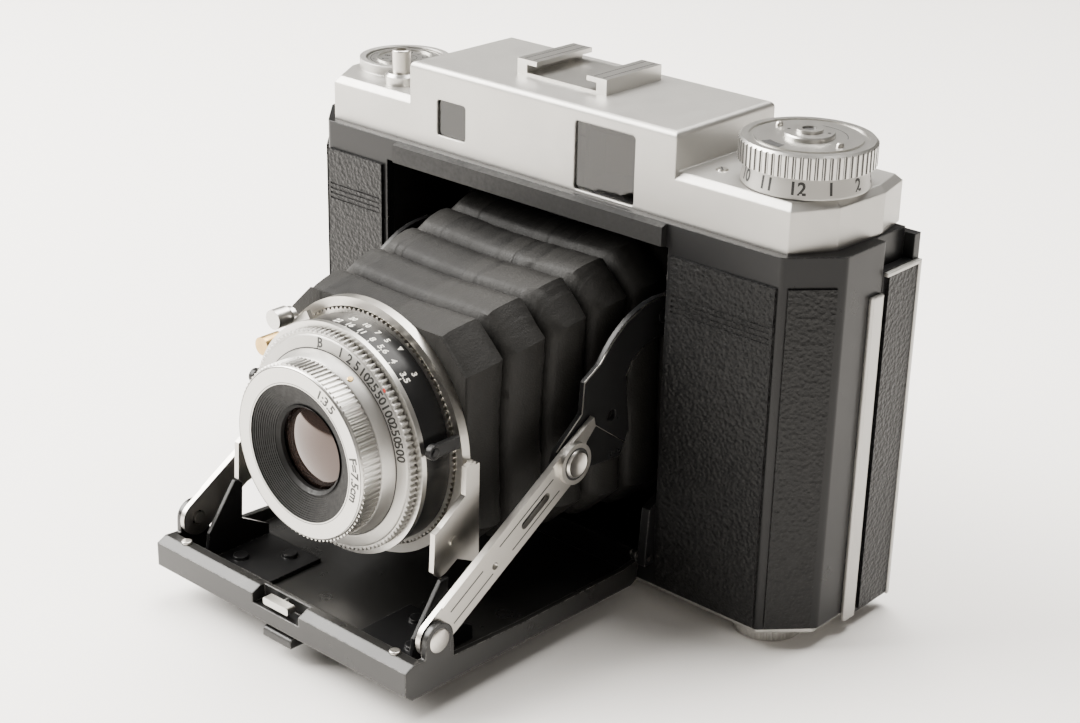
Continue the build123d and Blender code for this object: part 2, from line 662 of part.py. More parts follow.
with BuildPart() as bed_pins:
    for side in (1, -1):
        start = BED_HALF - BED_SHEET - 0.8
        with BuildSketch(at_x(side * start)):
            with Locations((dep(HINGE_DEPTH), lev(HINGE_HEIGHT))):
                Circle(BED_PIN_R)
        extrude(amount=side * (MOUTH_HALF - start))
save(bed_pins, "bed_pins")

with BuildPart() as hinge_brackets:
    for side in (1, -1):
        with BuildSketch(at_x(side * (BED_HALF + 0.6))):
            outline(profile([(HINGE_DEPTH - 1.3, 4.9), (HINGE_DEPTH - 1.3, 7.6), (-1.9, 17.5),
                             (2.6, 19.6), (8, 19.6), (8, SILL), (-0.02, SILL), (-0.02, 4.9)]))
            with Locations((dep(HINGE_DEPTH), lev(HINGE_HEIGHT))):
                Circle(BED_PIN_R, mode=Mode.SUBTRACT)
        extrude(amount=side * (MOUTH_HALF - BED_HALF - 0.6))
save(hinge_brackets, "hinge_brackets")

with BuildPart() as bed_leather:
    with BuildSketch(at_x(-BED_HALF + 2.5)):
        outline(profile([(-6.0, 0.13), (-62.0, 1.30), (-62.0, 0.6), (-6.0, -0.57)]))
    extrude(amount=2 * BED_HALF - 5)
save(bed_leather, "bed_leather")

with BuildPart() as latch_tab:
    with BuildSketch(at_depth(BED_FRONT + 2.2)):
        with Locations((0, lev(7.2))):
            RectangleRounded(7.1, 1.5, 0.4)
    extrude(amount=2.0)
    with BuildSketch(at_depth(BED_WALL + 0.6)):
        with Locations((0, lev(7.2))):
            Circle(0.5)
    extrude(amount=BED_WALL + 0.6 - BED_FRONT - 2.1)
save(latch_tab, "latch_tab")

with BuildPart() as guide_pins:
    for x in (-30, 30):
        with BuildSketch(Plane(origin=(x, dep(-64.6), lev(8.62)))):
            Circle(1.1)
        extrude(amount=0.5)
        fillet(guide_pins.edges().group_by(Axis.Z)[-1], 0.3)
save(guide_pins, "guide_pins")

FOOT_HINGE = (-66.4, 0.45)

with BuildPart() as stand_foot:
    with BuildSketch(at_x(-4.0)):
        outline(profile([(FOOT_HINGE[0] - 0.9, 0.45), (FOOT_HINGE[0] - 0.9, -0.7), (-46.0, -0.9),
                         (-46.0, -0.1), (FOOT_HINGE[0] + 0.9, 0.2), (FOOT_HINGE[0] + 0.9, 0.45)]))
        with Locations((dep(FOOT_HINGE[0]), lev(FOOT_HINGE[1]))):
            Circle(0.9)
    extrude(amount=8.0)
save(stand_foot, "stand_foot")

LINK_FOOT = 0.8                           # thickness of the links' foot plates

with BuildPart() as floor_links:
    for side in (1, -1):
        with BuildSketch(at_x(side * 29.0)):
            outline(profile([(-44.0, PAN_FLOOR), (-60.5, PAN_FLOOR), (-59.5, 9.0), (-52.5, 18.5),
                             (-50.5, 18.5), (-51.0, 9.5), (-44.0, 5.5)]))
        extrude(amount=side * 0.9)
        with BuildSketch(Plane(origin=(side * 21.5, dep(-51.0), lev(PAN_FLOOR)))):
            Rectangle(16.8, 14.0)
        extrude(amount=LINK_FOOT)
        # rivets that hold the plate to the floor
        for x, depth in ((18.5, -47.5), (25.0, -55.0)):
            with BuildSketch(Plane(origin=(side * x, dep(depth), lev(PAN_FLOOR + LINK_FOOT)))):
                Circle(1.7)
            extrude(amount=0.7, taper=12)
save(floor_links, "floor_links")


# ---------------------------------------------------------------- struts
def lower_strut(side, label):
    """Nickel strut with raised edge, hole and slot, from the bed pivot to the hook."""
    length = math.dist(STRUT_PIVOT, STRUT_JOINT)
    angle = math.degrees(math.atan2(STRUT_JOINT[1] - STRUT_PIVOT[1],
                                    STRUT_JOINT[0] - STRUT_PIVOT[0]))
    plane = Plane(origin=(side * LOWER_X, dep(STRUT_PIVOT[0]), lev(STRUT_PIVOT[1])),
                  x_dir=(0, math.cos(math.radians(angle)), math.sin(math.radians(angle))),
                  z_dir=(side, 0, 0))
    up = side                       # the sketch's y axis points down on the left side
    with BuildPart() as strut:
        with BuildSketch(plane):
            with Locations((length / 2, 0)):
                SlotCenterToCenter(length, 7.6)
            with BuildLine():
                Polyline((length - 2, up * 3.8), (length + 9.0, up * 3.4), (length + 8.4, up * 1.4),
                         (length + 5.0, up * 0.6), (length + 3.0, up * -1.0), (length - 2, 0),
                         close=True)
            make_face()
            Circle(1.5 + SHAFT_FIT, mode=Mode.SUBTRACT)
            with Locations((length, 0)):
                Circle(1.5, mode=Mode.SUBTRACT)
            with Locations((18.2, up * -1.0)):
                Circle(0.8, mode=Mode.SUBTRACT)
            with Locations((31.5, up * -0.3)):
                SlotCenterToCenter(7.0, 1.8, mode=Mode.SUBTRACT)
        extrude(amount=STRUT_SHEET)
        with BuildSketch(plane.offset(STRUT_SHEET)):
            with Locations((length / 2, up * 3.4)):
                Rectangle(length - 9.0, 0.7)
        extrude(amount=0.25)
    save(strut, label)


def upper_strut(side, label):
    """Black upper plate: web behind the joint, bright edged, and a curved arm to its pivot."""
    web = profile([(-24.6, 36.4), (-17.4, 42.0), (-16.9, 48.4), (-12.4, 50.9)])
    arm = profile([(-12.4, 50.9), (-5.0, 57.6), (6.7, 60.0)])
    back = profile([(6.7, 60.0), (11.1, 55.6), (6.7, 51.2)])
    inner = profile([(6.7, 51.2), (0.4, 50.6), (-4.4, 46.0)])
    foot = profile([(-4.4, 46.0), (-3.0, 34.0), (-5.6, 29.0), (-18.4, 30.2)])
    joint = profile([(-18.4, 30.2), (-23.9, 30.4), (-24.6, 36.4)])
    with BuildPart() as strut:
        with BuildSketch(at_x(side * UPPER_X)):
            with BuildLine():
                Polyline(*web)
                ThreePointArc(*arm)
                ThreePointArc(*back)
                ThreePointArc(*inner)
                Polyline(*foot)
                ThreePointArc(*joint)
            make_face()
            with Locations((dep(UPPER_PIVOT[0]), lev(UPPER_PIVOT[1]))):
                Circle(1.5 + SHAFT_FIT, mode=Mode.SUBTRACT)
            with Locations((dep(-8.4), lev(38.9))):
                Circle(1.2, mode=Mode.SUBTRACT)
            with Locations((dep(STRUT_JOINT[0]), lev(STRUT_JOINT[1]))):
                Circle(2.1, mode=Mode.SUBTRACT)
        extrude(amount=side * STRUT_SHEET)
    save(strut, label)


for side, hand in ((1, "right"), (-1, "left")):
    lower_strut(side, f"lower_strut_{hand}")
    upper_strut(side, f"upper_strut_{hand}")

with BuildPart() as joint_rivets:
    for side in (1, -1):
        for radius, near, far in ((1.5, LOWER_X - 0.15, LOWER_X + STRUT_SHEET),
                                  (4.2, LOWER_X + STRUT_SHEET, LOWER_X + STRUT_SHEET + 1.0)):
            with BuildSketch(at_x(side * near)):
                with Locations((dep(STRUT_JOINT[0]), lev(STRUT_JOINT[1]))):
                    Circle(radius)
            extrude(amount=side * (far - near))
save(joint_rivets, "joint_rivets")

with BuildPart() as bed_rivets:
    for side in (1, -1):
        with BuildSketch(Plane(origin=(side * (LOWER_X - 0.4), dep(STRUT_PIVOT[0]),
                                       lev(STRUT_PIVOT[1])), x_dir=(0, 1, 0), z_dir=(side, 0, 0))):
            Circle(1.2)
        extrude(amount=BED_HALF + 0.4 - LOWER_X)
save(bed_rivets, "bed_rivets")

with BuildPart() as strut_brackets:
    for side in (1, -1):
        # plate from the film gate forward, and the pivot that the upper strut turns on
        with BuildSketch(at_x(side * 30.3)):
            outline(profile([(GATE_FRONT, 50.0), (GATE_FRONT, 61.0), (6.7, 58.6), (3.7, 57.4),
                             (3.7, 53.8), (6.7, 52.6)]))
        extrude(amount=side * 1.2)
        with BuildSketch(at_x(side * 31.0)):
            with Locations((dep(UPPER_PIVOT[0]), lev(UPPER_PIVOT[1]))):
                Circle(1.5)
        extrude(amount=side * (UPPER_X + STRUT_SHEET + 0.1 - 31.0))
save(strut_brackets, "strut_brackets")

# ---------------------------------------------------------------- standard
CHEEK_X, CHEEK = 27.2, 1.2
LUG_X, LUG, STUD_R = 24.1, 1.2, 0.8
cheek_side = [(-42.0, 18.0), (-42.0, 39.0), (-44.4, 38.6), (-44.6, 32.8), (-51.0, 28.4), (-52.6, 27.6),
              (-53.0, 19.7), (-51.6, 18.2), (-49.8, 18.6), (-46.7, 20.4)]

with BuildPart() as lens_standard:
    with BuildSketch(lens_plane(-40.9)):
        Circle(RING_R)
        with Locations((0, -9.0)):
            Rectangle(2 * (CHEEK_X + CHEEK), 20.4)
    extrude(amount=1.1)
    with BuildSketch(lens_plane(-42.0)):
        Circle(RING_R)
        Circle(24.2, mode=Mode.SUBTRACT)
    extrude(amount=-RING_DEPTH - 42.0)
    with BuildSketch(lens_plane(-40.0)):
        Circle(13.2)
    extrude(amount=4, mode=Mode.SUBTRACT)
    for side in (1, -1):
        with BuildSketch(at_x(side * CHEEK_X)):
            outline(profile(cheek_side))
        extrude(amount=side * CHEEK)
        with BuildSketch(at_x(side * (CHEEK_X + CHEEK))):
            with Locations((dep(-47.6), lev(24.4))):
                Circle(1.1)
        extrude(amount=side * 0.35)
        # lug that reaches forward to the guide stud
        with BuildSketch(at_x(side * LUG_X)):
            with Locations((dep(STUD_PIVOT[0]), lev(STUD_PIVOT[1]))):
                Circle(1.5)
            outline(profile([(STUD_PIVOT[0], STUD_PIVOT[1] - 1.2), (RING_DEPTH, STUD_PIVOT[1] - 1.2),
                             (RING_DEPTH, STUD_PIVOT[1] + 1.2), (STUD_PIVOT[0], STUD_PIVOT[1] + 1.2)]))
            with Locations((dep(STUD_PIVOT[0]), lev(STUD_PIVOT[1]))):
                Circle(STUD_R + SHAFT_FIT, mode=Mode.SUBTRACT)
        extrude(amount=side * LUG)
save(lens_standard, "lens_standard")

with BuildPart() as guide_studs:
    for side in (1, -1):
        with BuildSketch(at_x(side * (LUG_X - 0.3))):
            with Locations((dep(STUD_PIVOT[0]), lev(STUD_PIVOT[1]))):
                Circle(STUD_R)
        extrude(amount=side * (LUG + 0.6))
save(guide_studs, "guide_studs")

# ---------------------------------------------------------------- shutter and lens
SHUTTER_BORE, LEAF_R, STOP_R = 12.4, 12.3, 4.5
CELL_R, CELL_BORE, REAR_GLASS_R, FRONT_GLASS_R = 12.9, 9.0, 8.95, 8.9

ring("shutter_case", -42.05, -49.6, CASE_R, SHUTTER_BORE)
ring("aperture_ring", -49.7, -50.8, FACE_R, SHUTTER_BORE)
ring("shutter_blades", -45.0, -45.3, LEAF_R, 0)
ring("aperture_blades", -47.0, -47.4, LEAF_R, STOP_R)
ring("rear_cell", -36.0, -41.9, CELL_R, CELL_BORE)
ring("rear_glass", -38.0, -41.0, REAR_GLASS_R, 0)
ring("front_glass", -53.5, -57.4, FRONT_GLASS_R, 0)

with BuildPart() as speed_ring:
    with BuildSketch(lens_plane(-50.9)):
        Circle(SPEED_R)
    extrude(amount=0.9)
    knurl(SPEED_R + 0.15, 110, 0.3, lens_plane(-50.9), 0.9)
    with BuildSketch(lens_plane(-51.8)):
        Circle(21.6)
    extrude(amount=1.2, taper=50)
    with BuildSketch(lens_plane(-50.9)):
        Circle(SHUTTER_BORE)
    extrude(amount=4, mode=Mode.SUBTRACT)
save(speed_ring, "speed_ring")

BARREL_BACK, BARREL_LONG, NECK_LONG = -53.2, 5.2, 3.3

with BuildPart() as focus_barrel:
    with BuildSketch(lens_plane(BARREL_BACK + NECK_LONG)):
        Circle(LEAF_R)
    extrude(amount=NECK_LONG)
    with BuildSketch(lens_plane(BARREL_BACK)):
        Circle(FOCUS_R)
    extrude(amount=BARREL_LONG)
    knurl(FOCUS_R + 0.15, 90, 0.35, lens_plane(BARREL_BACK), BARREL_LONG)
    with BuildSketch(lens_plane(BARREL_BACK + NECK_LONG)):
        Circle(FRONT_GLASS_R + 0.05)
    extrude(amount=NECK_LONG + BARREL_LONG, mode=Mode.SUBTRACT)
save(focus_barrel, "focus_barrel")

with BuildPart() as name_ring:
    with BuildSketch(lens_plane(-58.4)):
        Circle(NAME_R)
        Circle(NAME_BORE, mode=Mode.SUBTRACT)
    extrude(amount=-58.4 - NAME_DEPTH)
    fillet(name_ring.edges().group_by(Axis.Y)[0].sort_by(SortBy.LENGTH)[-1:], 0.5)
save(name_ring, "name_ring")

with BuildPart() as ribbed_bezel:
    with BuildSketch(lens_plane(-58.4)):
        Circle(NAME_BORE - 0.02)
        Circle(9.2, mode=Mode.SUBTRACT)
    extrude(amount=0.4)
    for step in range(4):
        with BuildSketch(lens_plane(-58.8)):
            Circle(NAME_BORE - 0.02)
            Circle(10.4 + 0.9 * step, mode=Mode.SUBTRACT)
        extrude(amount=0.3 * (step + 1))
save(ribbed_bezel, "ribbed_bezel")


def lens_polar(radius, degrees):
    """Point at a clock angle about the lens axis, in the frame of the lens planes."""
    return (radius * math.cos(math.radians(degrees)), radius * math.sin(math.radians(degrees)))


COCK_ANGLE = 137.0

with BuildPart() as cocking_lever:
    with BuildSketch(lens_plane(-44.6)):
        Circle(25.0)
        Circle(CASE_R + 0.2, mode=Mode.SUBTRACT)
        Polygon((0, 0), lens_polar(60, COCK_ANGLE - 14), lens_polar(60, COCK_ANGLE + 7), align=None,
                mode=Mode.INTERSECT)
        with Locations(lens_polar(26.2, COCK_ANGLE)):
            Circle(2.2)
    extrude(amount=1.0)
    with BuildSketch(lens_plane(-45.6)):
        with Locations(lens_polar(26.8, COCK_ANGLE)):
            Circle(2.0)
    extrude(amount=3.4)
save(cocking_lever, "cocking_lever")

with BuildPart() as sync_post:
    with BuildSketch(lens_plane(RING_DEPTH - 0.02)):
        with Locations(lens_polar(27.2, 157)):
            Circle(1.9)
    extrude(amount=4.6)
save(sync_post, "sync_post")

# ---------------------------------------------------------------- bellows
BELLOWS_FRONT, BELLOWS_BACK = -40.7, 24.8

with BuildPart() as bellows:
    # outer skin tapers from the body to the standard
    for (depth, half_w, low, high) in ((BELLOWS_BACK, 29.9, 8.2, 69.4), (BELLOWS_FRONT, 24.0, 14.6, 60.4)):
        with BuildSketch(Plane(origin=(0, dep(depth), lev((low + high) / 2)), x_dir=(1, 0, 0),
                               z_dir=(0, -1, 0))):
            RectangleRounded(2 * half_w, high - low, 6)
    loft()
    for (depth, half_w, low, high) in ((BELLOWS_BACK, 28.3, 9.9, 67.7), (BELLOWS_FRONT, 21.0, 17.6, 57.4)):
        with BuildSketch(Plane(origin=(0, dep(depth), lev((low + high) / 2)), x_dir=(1, 0, 0),
                               z_dir=(0, -1, 0))):
            RectangleRounded(2 * half_w, high - low, 4)
    loft(mode=Mode.SUBTRACT)
save(bellows, "bellows")
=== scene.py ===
import math
import random

import bmesh
import bpy
from mathutils import Matrix, Vector


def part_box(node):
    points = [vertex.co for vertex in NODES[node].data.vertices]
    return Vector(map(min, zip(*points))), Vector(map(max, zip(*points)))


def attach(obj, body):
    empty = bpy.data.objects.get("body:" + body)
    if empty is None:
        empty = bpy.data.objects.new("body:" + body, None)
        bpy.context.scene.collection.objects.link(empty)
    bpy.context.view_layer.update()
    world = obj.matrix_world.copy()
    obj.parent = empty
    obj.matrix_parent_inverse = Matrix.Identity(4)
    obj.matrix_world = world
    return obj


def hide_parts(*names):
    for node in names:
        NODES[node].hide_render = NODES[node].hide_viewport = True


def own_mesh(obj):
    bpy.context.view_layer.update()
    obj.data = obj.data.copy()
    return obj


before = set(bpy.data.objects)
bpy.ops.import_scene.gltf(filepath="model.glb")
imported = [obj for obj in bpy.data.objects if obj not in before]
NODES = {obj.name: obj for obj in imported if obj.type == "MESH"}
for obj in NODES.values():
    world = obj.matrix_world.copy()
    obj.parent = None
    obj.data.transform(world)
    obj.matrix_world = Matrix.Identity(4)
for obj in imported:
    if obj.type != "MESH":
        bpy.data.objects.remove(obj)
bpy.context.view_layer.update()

MM = 0.001
rng = random.Random(6)


# ---------------------------------------------------------------- places taken from the frame
def middle(node):
    low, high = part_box(node)
    return Vector([(a + b) / 2 for a, b in zip(low, high)])


LENS_Z = middle("name_ring")[2]                # height of the lens axis
NAME_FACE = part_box("name_ring")[0][1]
SPEED_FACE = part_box("speed_ring")[0][1]
CASE_R = 23.0 * MM
KNOB, DIAL = middle("advance_knob"), middle("memo_dial")
SKIRT_LOW, SKIRT_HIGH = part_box("counter_skirt")
KNOB_FACE = SKIRT_HIGH[2] + 4.5 * MM
PLATEAU_Z = SKIRT_LOW[2] - 0.2 * MM
FRONT_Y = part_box("body_shell")[0][1]
COVER_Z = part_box("body_shell")[0][2]


# ---------------------------------------------------------------- node-material helpers
NOISE_SPAN = (0.3, 0.7)           # where nearly all of a noise's values lie


class Nodes:
    """Short way to build one node material."""

    def __init__(self, name):
        self.material = bpy.data.materials.new(name)
        self.material.use_nodes = True
        self.tree = self.material.node_tree
        self.shader = self.tree.nodes["Principled BSDF"]
        self.coord = self.add("ShaderNodeTexCoord").outputs["Object"]

    def add(self, kind, **settings):
        node = self.tree.nodes.new(kind)
        for key, value in settings.items():
            setattr(node, key, value)
        return node

    def link(self, source, target):
        self.tree.links.new(source, target)

    def fixed(self, **values):
        for key, value in values.items():
            self.shader.inputs[key.replace("_", " ")].default_value = value

    def mapped(self, scale=(1, 1, 1), rotation=(0, 0, 0)):
        node = self.add("ShaderNodeMapping")
        node.inputs["Scale"].default_value = scale
        node.inputs["Rotation"].default_value = rotation
        self.link(self.coord, node.inputs["Vector"])
        return node.outputs["Vector"]

    def noise(self, scale, detail=4.0, rough=0.55, vector=None):
        node = self.add("ShaderNodeTexNoise")
        node.inputs["Scale"].default_value = scale
        node.inputs["Detail"].default_value = detail
        node.inputs["Roughness"].default_value = rough
        self.link(vector or self.coord, node.inputs["Vector"])
        return node.outputs["Fac"]

    def cells(self, scale, feature="F1", smooth=None):
        node = self.add("ShaderNodeTexVoronoi", feature=feature)
        node.inputs["Scale"].default_value = scale
        if smooth is not None:
            node.inputs["Smoothness"].default_value = smooth
        self.link(self.coord, node.inputs["Vector"])
        return node.outputs["Distance"]

    def grey(self, value, low, high, start=0.0, end=1.0):
        """Value stretched from start..end to low..high."""
        node = self.add("ShaderNodeMapRange")
        for key, number in (("From Min", start), ("From Max", end), ("To Min", low), ("To Max", high)):
            node.inputs[key].default_value = number
        self.link(value, node.inputs["Value"])
        return node.outputs["Result"]

    def mix(self, factor, first, second):
        node = self.add("ShaderNodeMix", data_type="RGBA")
        for socket, value in ((0, factor), (6, first), (7, second)):
            if hasattr(value, "links"):
                self.link(value, node.inputs[socket])
            else:
                node.inputs[socket].default_value = value if socket == 0 else (*value, 1)
        return node.outputs[2]

    def math(self, operation, first, second):
        node = self.add("ShaderNodeMath", operation=operation)
        for socket, value in enumerate((first, second)):
            if hasattr(value, "links"):
                self.link(value, node.inputs[socket])
            else:
                node.inputs[socket].default_value = value
        return node.outputs[0]

    def rounded(self, radius):
        """Normal of the surface as if its edges were rounded to this radius."""
        node = self.add("ShaderNodeBevel")
        node.samples = 4
        node.inputs["Radius"].default_value = radius
        return node.outputs["Normal"]

    def edge(self, radius, low, high):
        """1 along convex and concave edges, 0 on flat stretches. low and high are cosines of the bend."""
        geometry = self.add("ShaderNodeNewGeometry")
        dot = self.add("ShaderNodeVectorMath", operation="DOT_PRODUCT")
        self.link(self.rounded(radius), dot.inputs[0])
        self.link(geometry.outputs["Normal"], dot.inputs[1])
        return self.grey(dot.outputs["Value"], 0.0, 1.0, low, high)

    def bump(self, height, strength, distance, below=None):
        node = self.add("ShaderNodeBump")
        node.inputs["Strength"].default_value = strength
        node.inputs["Distance"].default_value = distance
        self.link(height, node.inputs["Height"])
        if below is not None:
            self.link(below, node.inputs["Normal"])
        self.link(node.outputs["Normal"], self.shader.inputs["Normal"])
        return node.outputs["Normal"]

    def colour(self, source):
        self.link(source, self.shader.inputs["Base Color"])

    def rough(self, noise, low, high):
        """Roughness that follows a noise, whose values keep within NOISE_SPAN."""
        self.link(self.grey(noise, low, high, *NOISE_SPAN), self.shader.inputs["Roughness"])


# ---------------------------------------------------------------- materials
def satin_chrome():
    """Fine blasted chrome of the housings."""
    m = Nodes("satin_chrome")
    m.fixed(Metallic=0.86)
    speckle = m.noise(5200, 3)
    cloud = m.noise(55, 4)
    m.colour(m.mix(m.grey(cloud, 0, 1, 0.35, 0.7), (0.43, 0.42, 0.398), (0.39, 0.382, 0.363)))
    m.rough(m.noise(420, 5), 0.38, 0.42)
    m.bump(speckle, 0.22, 0.00003, m.rounded(0.0005))
    return m.material


def turned_chrome():
    """Turned chrome of the lens rings and knobs."""
    m = Nodes("turned_chrome")
    m.fixed(Metallic=1.0)
    m.colour(m.mix(m.noise(300, 4), (0.55, 0.54, 0.512), (0.50, 0.49, 0.466)))
    m.rough(m.noise(700, 4), 0.29, 0.32)
    m.bump(m.noise(3800, 2, vector=m.mapped((1, 0.15, 1))), 0.04, 0.00001)
    return m.material


def nickel():
    """Plated steel of the struts and the standard."""
    m = Nodes("nickel")
    m.fixed(Metallic=1.0)
    stain = m.noise(260, 6, 0.65)
    m.colour(m.mix(m.grey(stain, 0, 1, 0.55, 0.85), (0.52, 0.50, 0.463), (0.46, 0.438, 0.405)))
    m.rough(m.noise(700, 6), 0.29, 0.33)
    m.bump(m.noise(2600, 3, vector=m.mapped((1, 0.2, 1), (0.6, 0, 0))), 0.05, 0.00001)
    return m.material


def enamel():
    """Black baked enamel with bare metal on worn edges."""
    m = Nodes("black_enamel")
    worn = m.math("MULTIPLY", m.edge(0.00025, 0.97, 0.80), m.grey(m.noise(900, 5, 0.7), 0, 1, 0.5, 0.62))
    m.colour(m.mix(worn, (0.008, 0.008, 0.0083), (0.16, 0.155, 0.15)))
    m.rough(m.noise(160, 5), 0.27, 0.32)
    m.fixed(Specular_IOR_Level=0.2)
    m.bump(m.noise(1500, 2), 0.07, 0.00003, m.rounded(0.0004))
    return m.material


def bed_enamel():
    """Enamel of the bed: greyer and duller from handling."""
    m = Nodes("bed_enamel")
    worn = m.math("MULTIPLY", m.edge(0.0003, 0.97, 0.80), m.grey(m.noise(700, 6, 0.7), 0, 1, 0.42, 0.58))
    m.colour(m.mix(worn, (0.011, 0.0108, 0.0103), (0.26, 0.25, 0.23)))
    m.rough(m.noise(90, 6), 0.26, 0.32)
    m.fixed(Specular_IOR_Level=0.4)
    m.bump(m.noise(1900, 3), 0.10, 0.00003, m.rounded(0.0005))
    return m.material


def matt_black():
    """Dull black paint inside the body and the lens."""
    m = Nodes("matt_black")
    m.colour(m.mix(m.noise(500, 4), (0.005, 0.005, 0.005), (0.010, 0.0098, 0.0095)))
    m.rough(m.noise(1200, 3), 0.48, 0.66)
    m.fixed(Specular_IOR_Level=0.25)
    m.bump(m.noise(2500, 2), 0.10, 0.00003)
    return m.material


def leather():
    """Embossed leather: pebbles parted by fine creases."""
    m = Nodes("leatherette")
    warp = m.noise(600, 2)
    pebble = m.cells(1150, "SMOOTH_F1", smooth=0.35)
    fine = m.cells(2600, "F1")
    crease = m.noise(1700, 5, 0.65)
    height = m.math("ADD", pebble, m.math("MULTIPLY", crease, 0.55))
    height = m.math("ADD", height, m.math("MULTIPLY", fine, 0.25))
    m.colour(m.mix(m.grey(warp, 0, 1, 0.3, 0.75), (0.004, 0.004, 0.0042), (0.008, 0.0079, 0.0079)))
    m.rough(crease, 0.32, 0.46)
    m.fixed(Specular_IOR_Level=0.2)
    m.bump(height, 0.9, 0.0002)
    return m.material


def bellows_skin():
    """Thin black leather cloth with pressed lines across the pleats; its colour is lighter where the creases
    stand raised and along the pressed lines.
    """
    m = Nodes("bellows_skin")
    crease = m.noise(300, 7, 0.7, vector=m.mapped((1.6, 0.5, 0.5)))
    lines = m.noise(120, 2, 0.4, vector=m.mapped((1.0, 0.06, 0.06)))
    pressed = m.grey(lines, 0, 1, 0.50, 0.53)
    grain = m.cells(2400, "F1")
    tone = m.mix(m.grey(crease, 0, 1, 0.35, 0.7), (0.0075, 0.0073, 0.0070), (0.0145, 0.014, 0.0132))
    m.colour(m.mix(m.grey(pressed, 0, 0.3), tone, (0.027, 0.026, 0.024)))
    m.rough(crease, 0.46, 0.62)
    m.fixed(Specular_IOR_Level=0.14)
    below = m.bump(crease, 0.45, 0.0004)
    below = m.bump(pressed, 0.35, 0.0003, below)
    m.bump(grain, 0.35, 0.00007, below)
    return m.material


def mirror_glass():
    """Half mirror of the finder: dark, with a brown sheen."""
    m = Nodes("mirror_glass")
    m.fixed(IOR=1.62, Coat_Weight=1.0, Coat_Roughness=0.02, Specular_IOR_Level=0.9)
    m.colour(m.mix(m.noise(80, 3), (0.16, 0.07, 0.025), (0.1152, 0.0504, 0.018)))
    m.rough(m.noise(260, 3), 0.12, 0.17)
    return m.material


def coated_glass():
    """Lens face: warm brown-pink mirror of the coating over a dark barrel."""
    m = Nodes("coated_glass")
    m.fixed(Metallic=0.75, Coat_Weight=0.6, Coat_Roughness=0.02)
    m.colour(m.mix(m.noise(90, 2), (0.066, 0.044, 0.036), (0.048, 0.032, 0.027)))
    m.rough(m.noise(260, 3), 0.03, 0.07)
    return m.material


def window_glass():
    """Flat glass of the finder windows, tinted dark: painted shade for the dim inside of the finder."""
    m = Nodes("window_glass")
    m.fixed(Transmission_Weight=1.0, IOR=1.45)
    # painted shade: the strong dark tint makes the inside of the finder read dim
    m.colour(m.mix(m.noise(60, 2), (0.11, 0.10, 0.085), (0.1023, 0.093, 0.07905)))
    m.rough(m.noise(300, 3), 0.01, 0.05)
    return m.material


def brass():
    """Bare brass, darkened in places."""
    m = Nodes("brass")
    m.fixed(Metallic=1.0)
    m.colour(m.mix(m.noise(700, 5), (0.66, 0.46, 0.20), (0.44, 0.29, 0.12)))
    m.rough(m.noise(900, 4), 0.24, 0.42)
    m.bump(m.noise(2500, 2), 0.1, 0.00003)
    return m.material


def ink(name, colour, rough=0.5):
    """Paint filled into engraved figures, and flat dark colour of painted shade in slots, holes and grooves.
    """
    m = Nodes(name)
    m.colour(m.mix(m.noise(1500, 3), colour, tuple(0.7 * c for c in colour)))
    m.rough(m.noise(2000, 2), rough - 0.08, rough + 0.08)
    m.bump(m.noise(3000, 2), 0.05, 0.00002)
    return m.material


def floor_paper():
    """Warm white paper that the camera stands on."""
    m = Nodes("floor_paper")
    m.colour(m.mix(m.noise(9, 3), (0.94, 0.915, 0.88), (0.925, 0.90, 0.865)))
    m.rough(m.noise(500, 3), 0.55, 0.7)
    m.bump(m.noise(900, 3), 0.03, 0.0001)
    return m.material


CHROME, TURNED, NICKEL = satin_chrome(), turned_chrome(), nickel()
ENAMEL, BED_ENAMEL, MATT = enamel(), bed_enamel(), matt_black()
LEATHER, BELLOWS, BRASS = leather(), bellows_skin(), brass()
LENS_GLASS = coated_glass()
WINDOW_GLASS, MIRROR_GLASS = window_glass(), mirror_glass()
# black paint for figures and lines; the same black is painted shade in screw slots, washer holes, the knob
# recess and the rail and strut grooves
BLACK_INK_AND_SHADE, WHITE_INK = ink("black_ink_and_shade", (0.012, 0.012, 0.012)), ink("white_ink", (0.78, 0.76, 0.70))
RED_INK = ink("red_ink", (0.45, 0.03, 0.02))

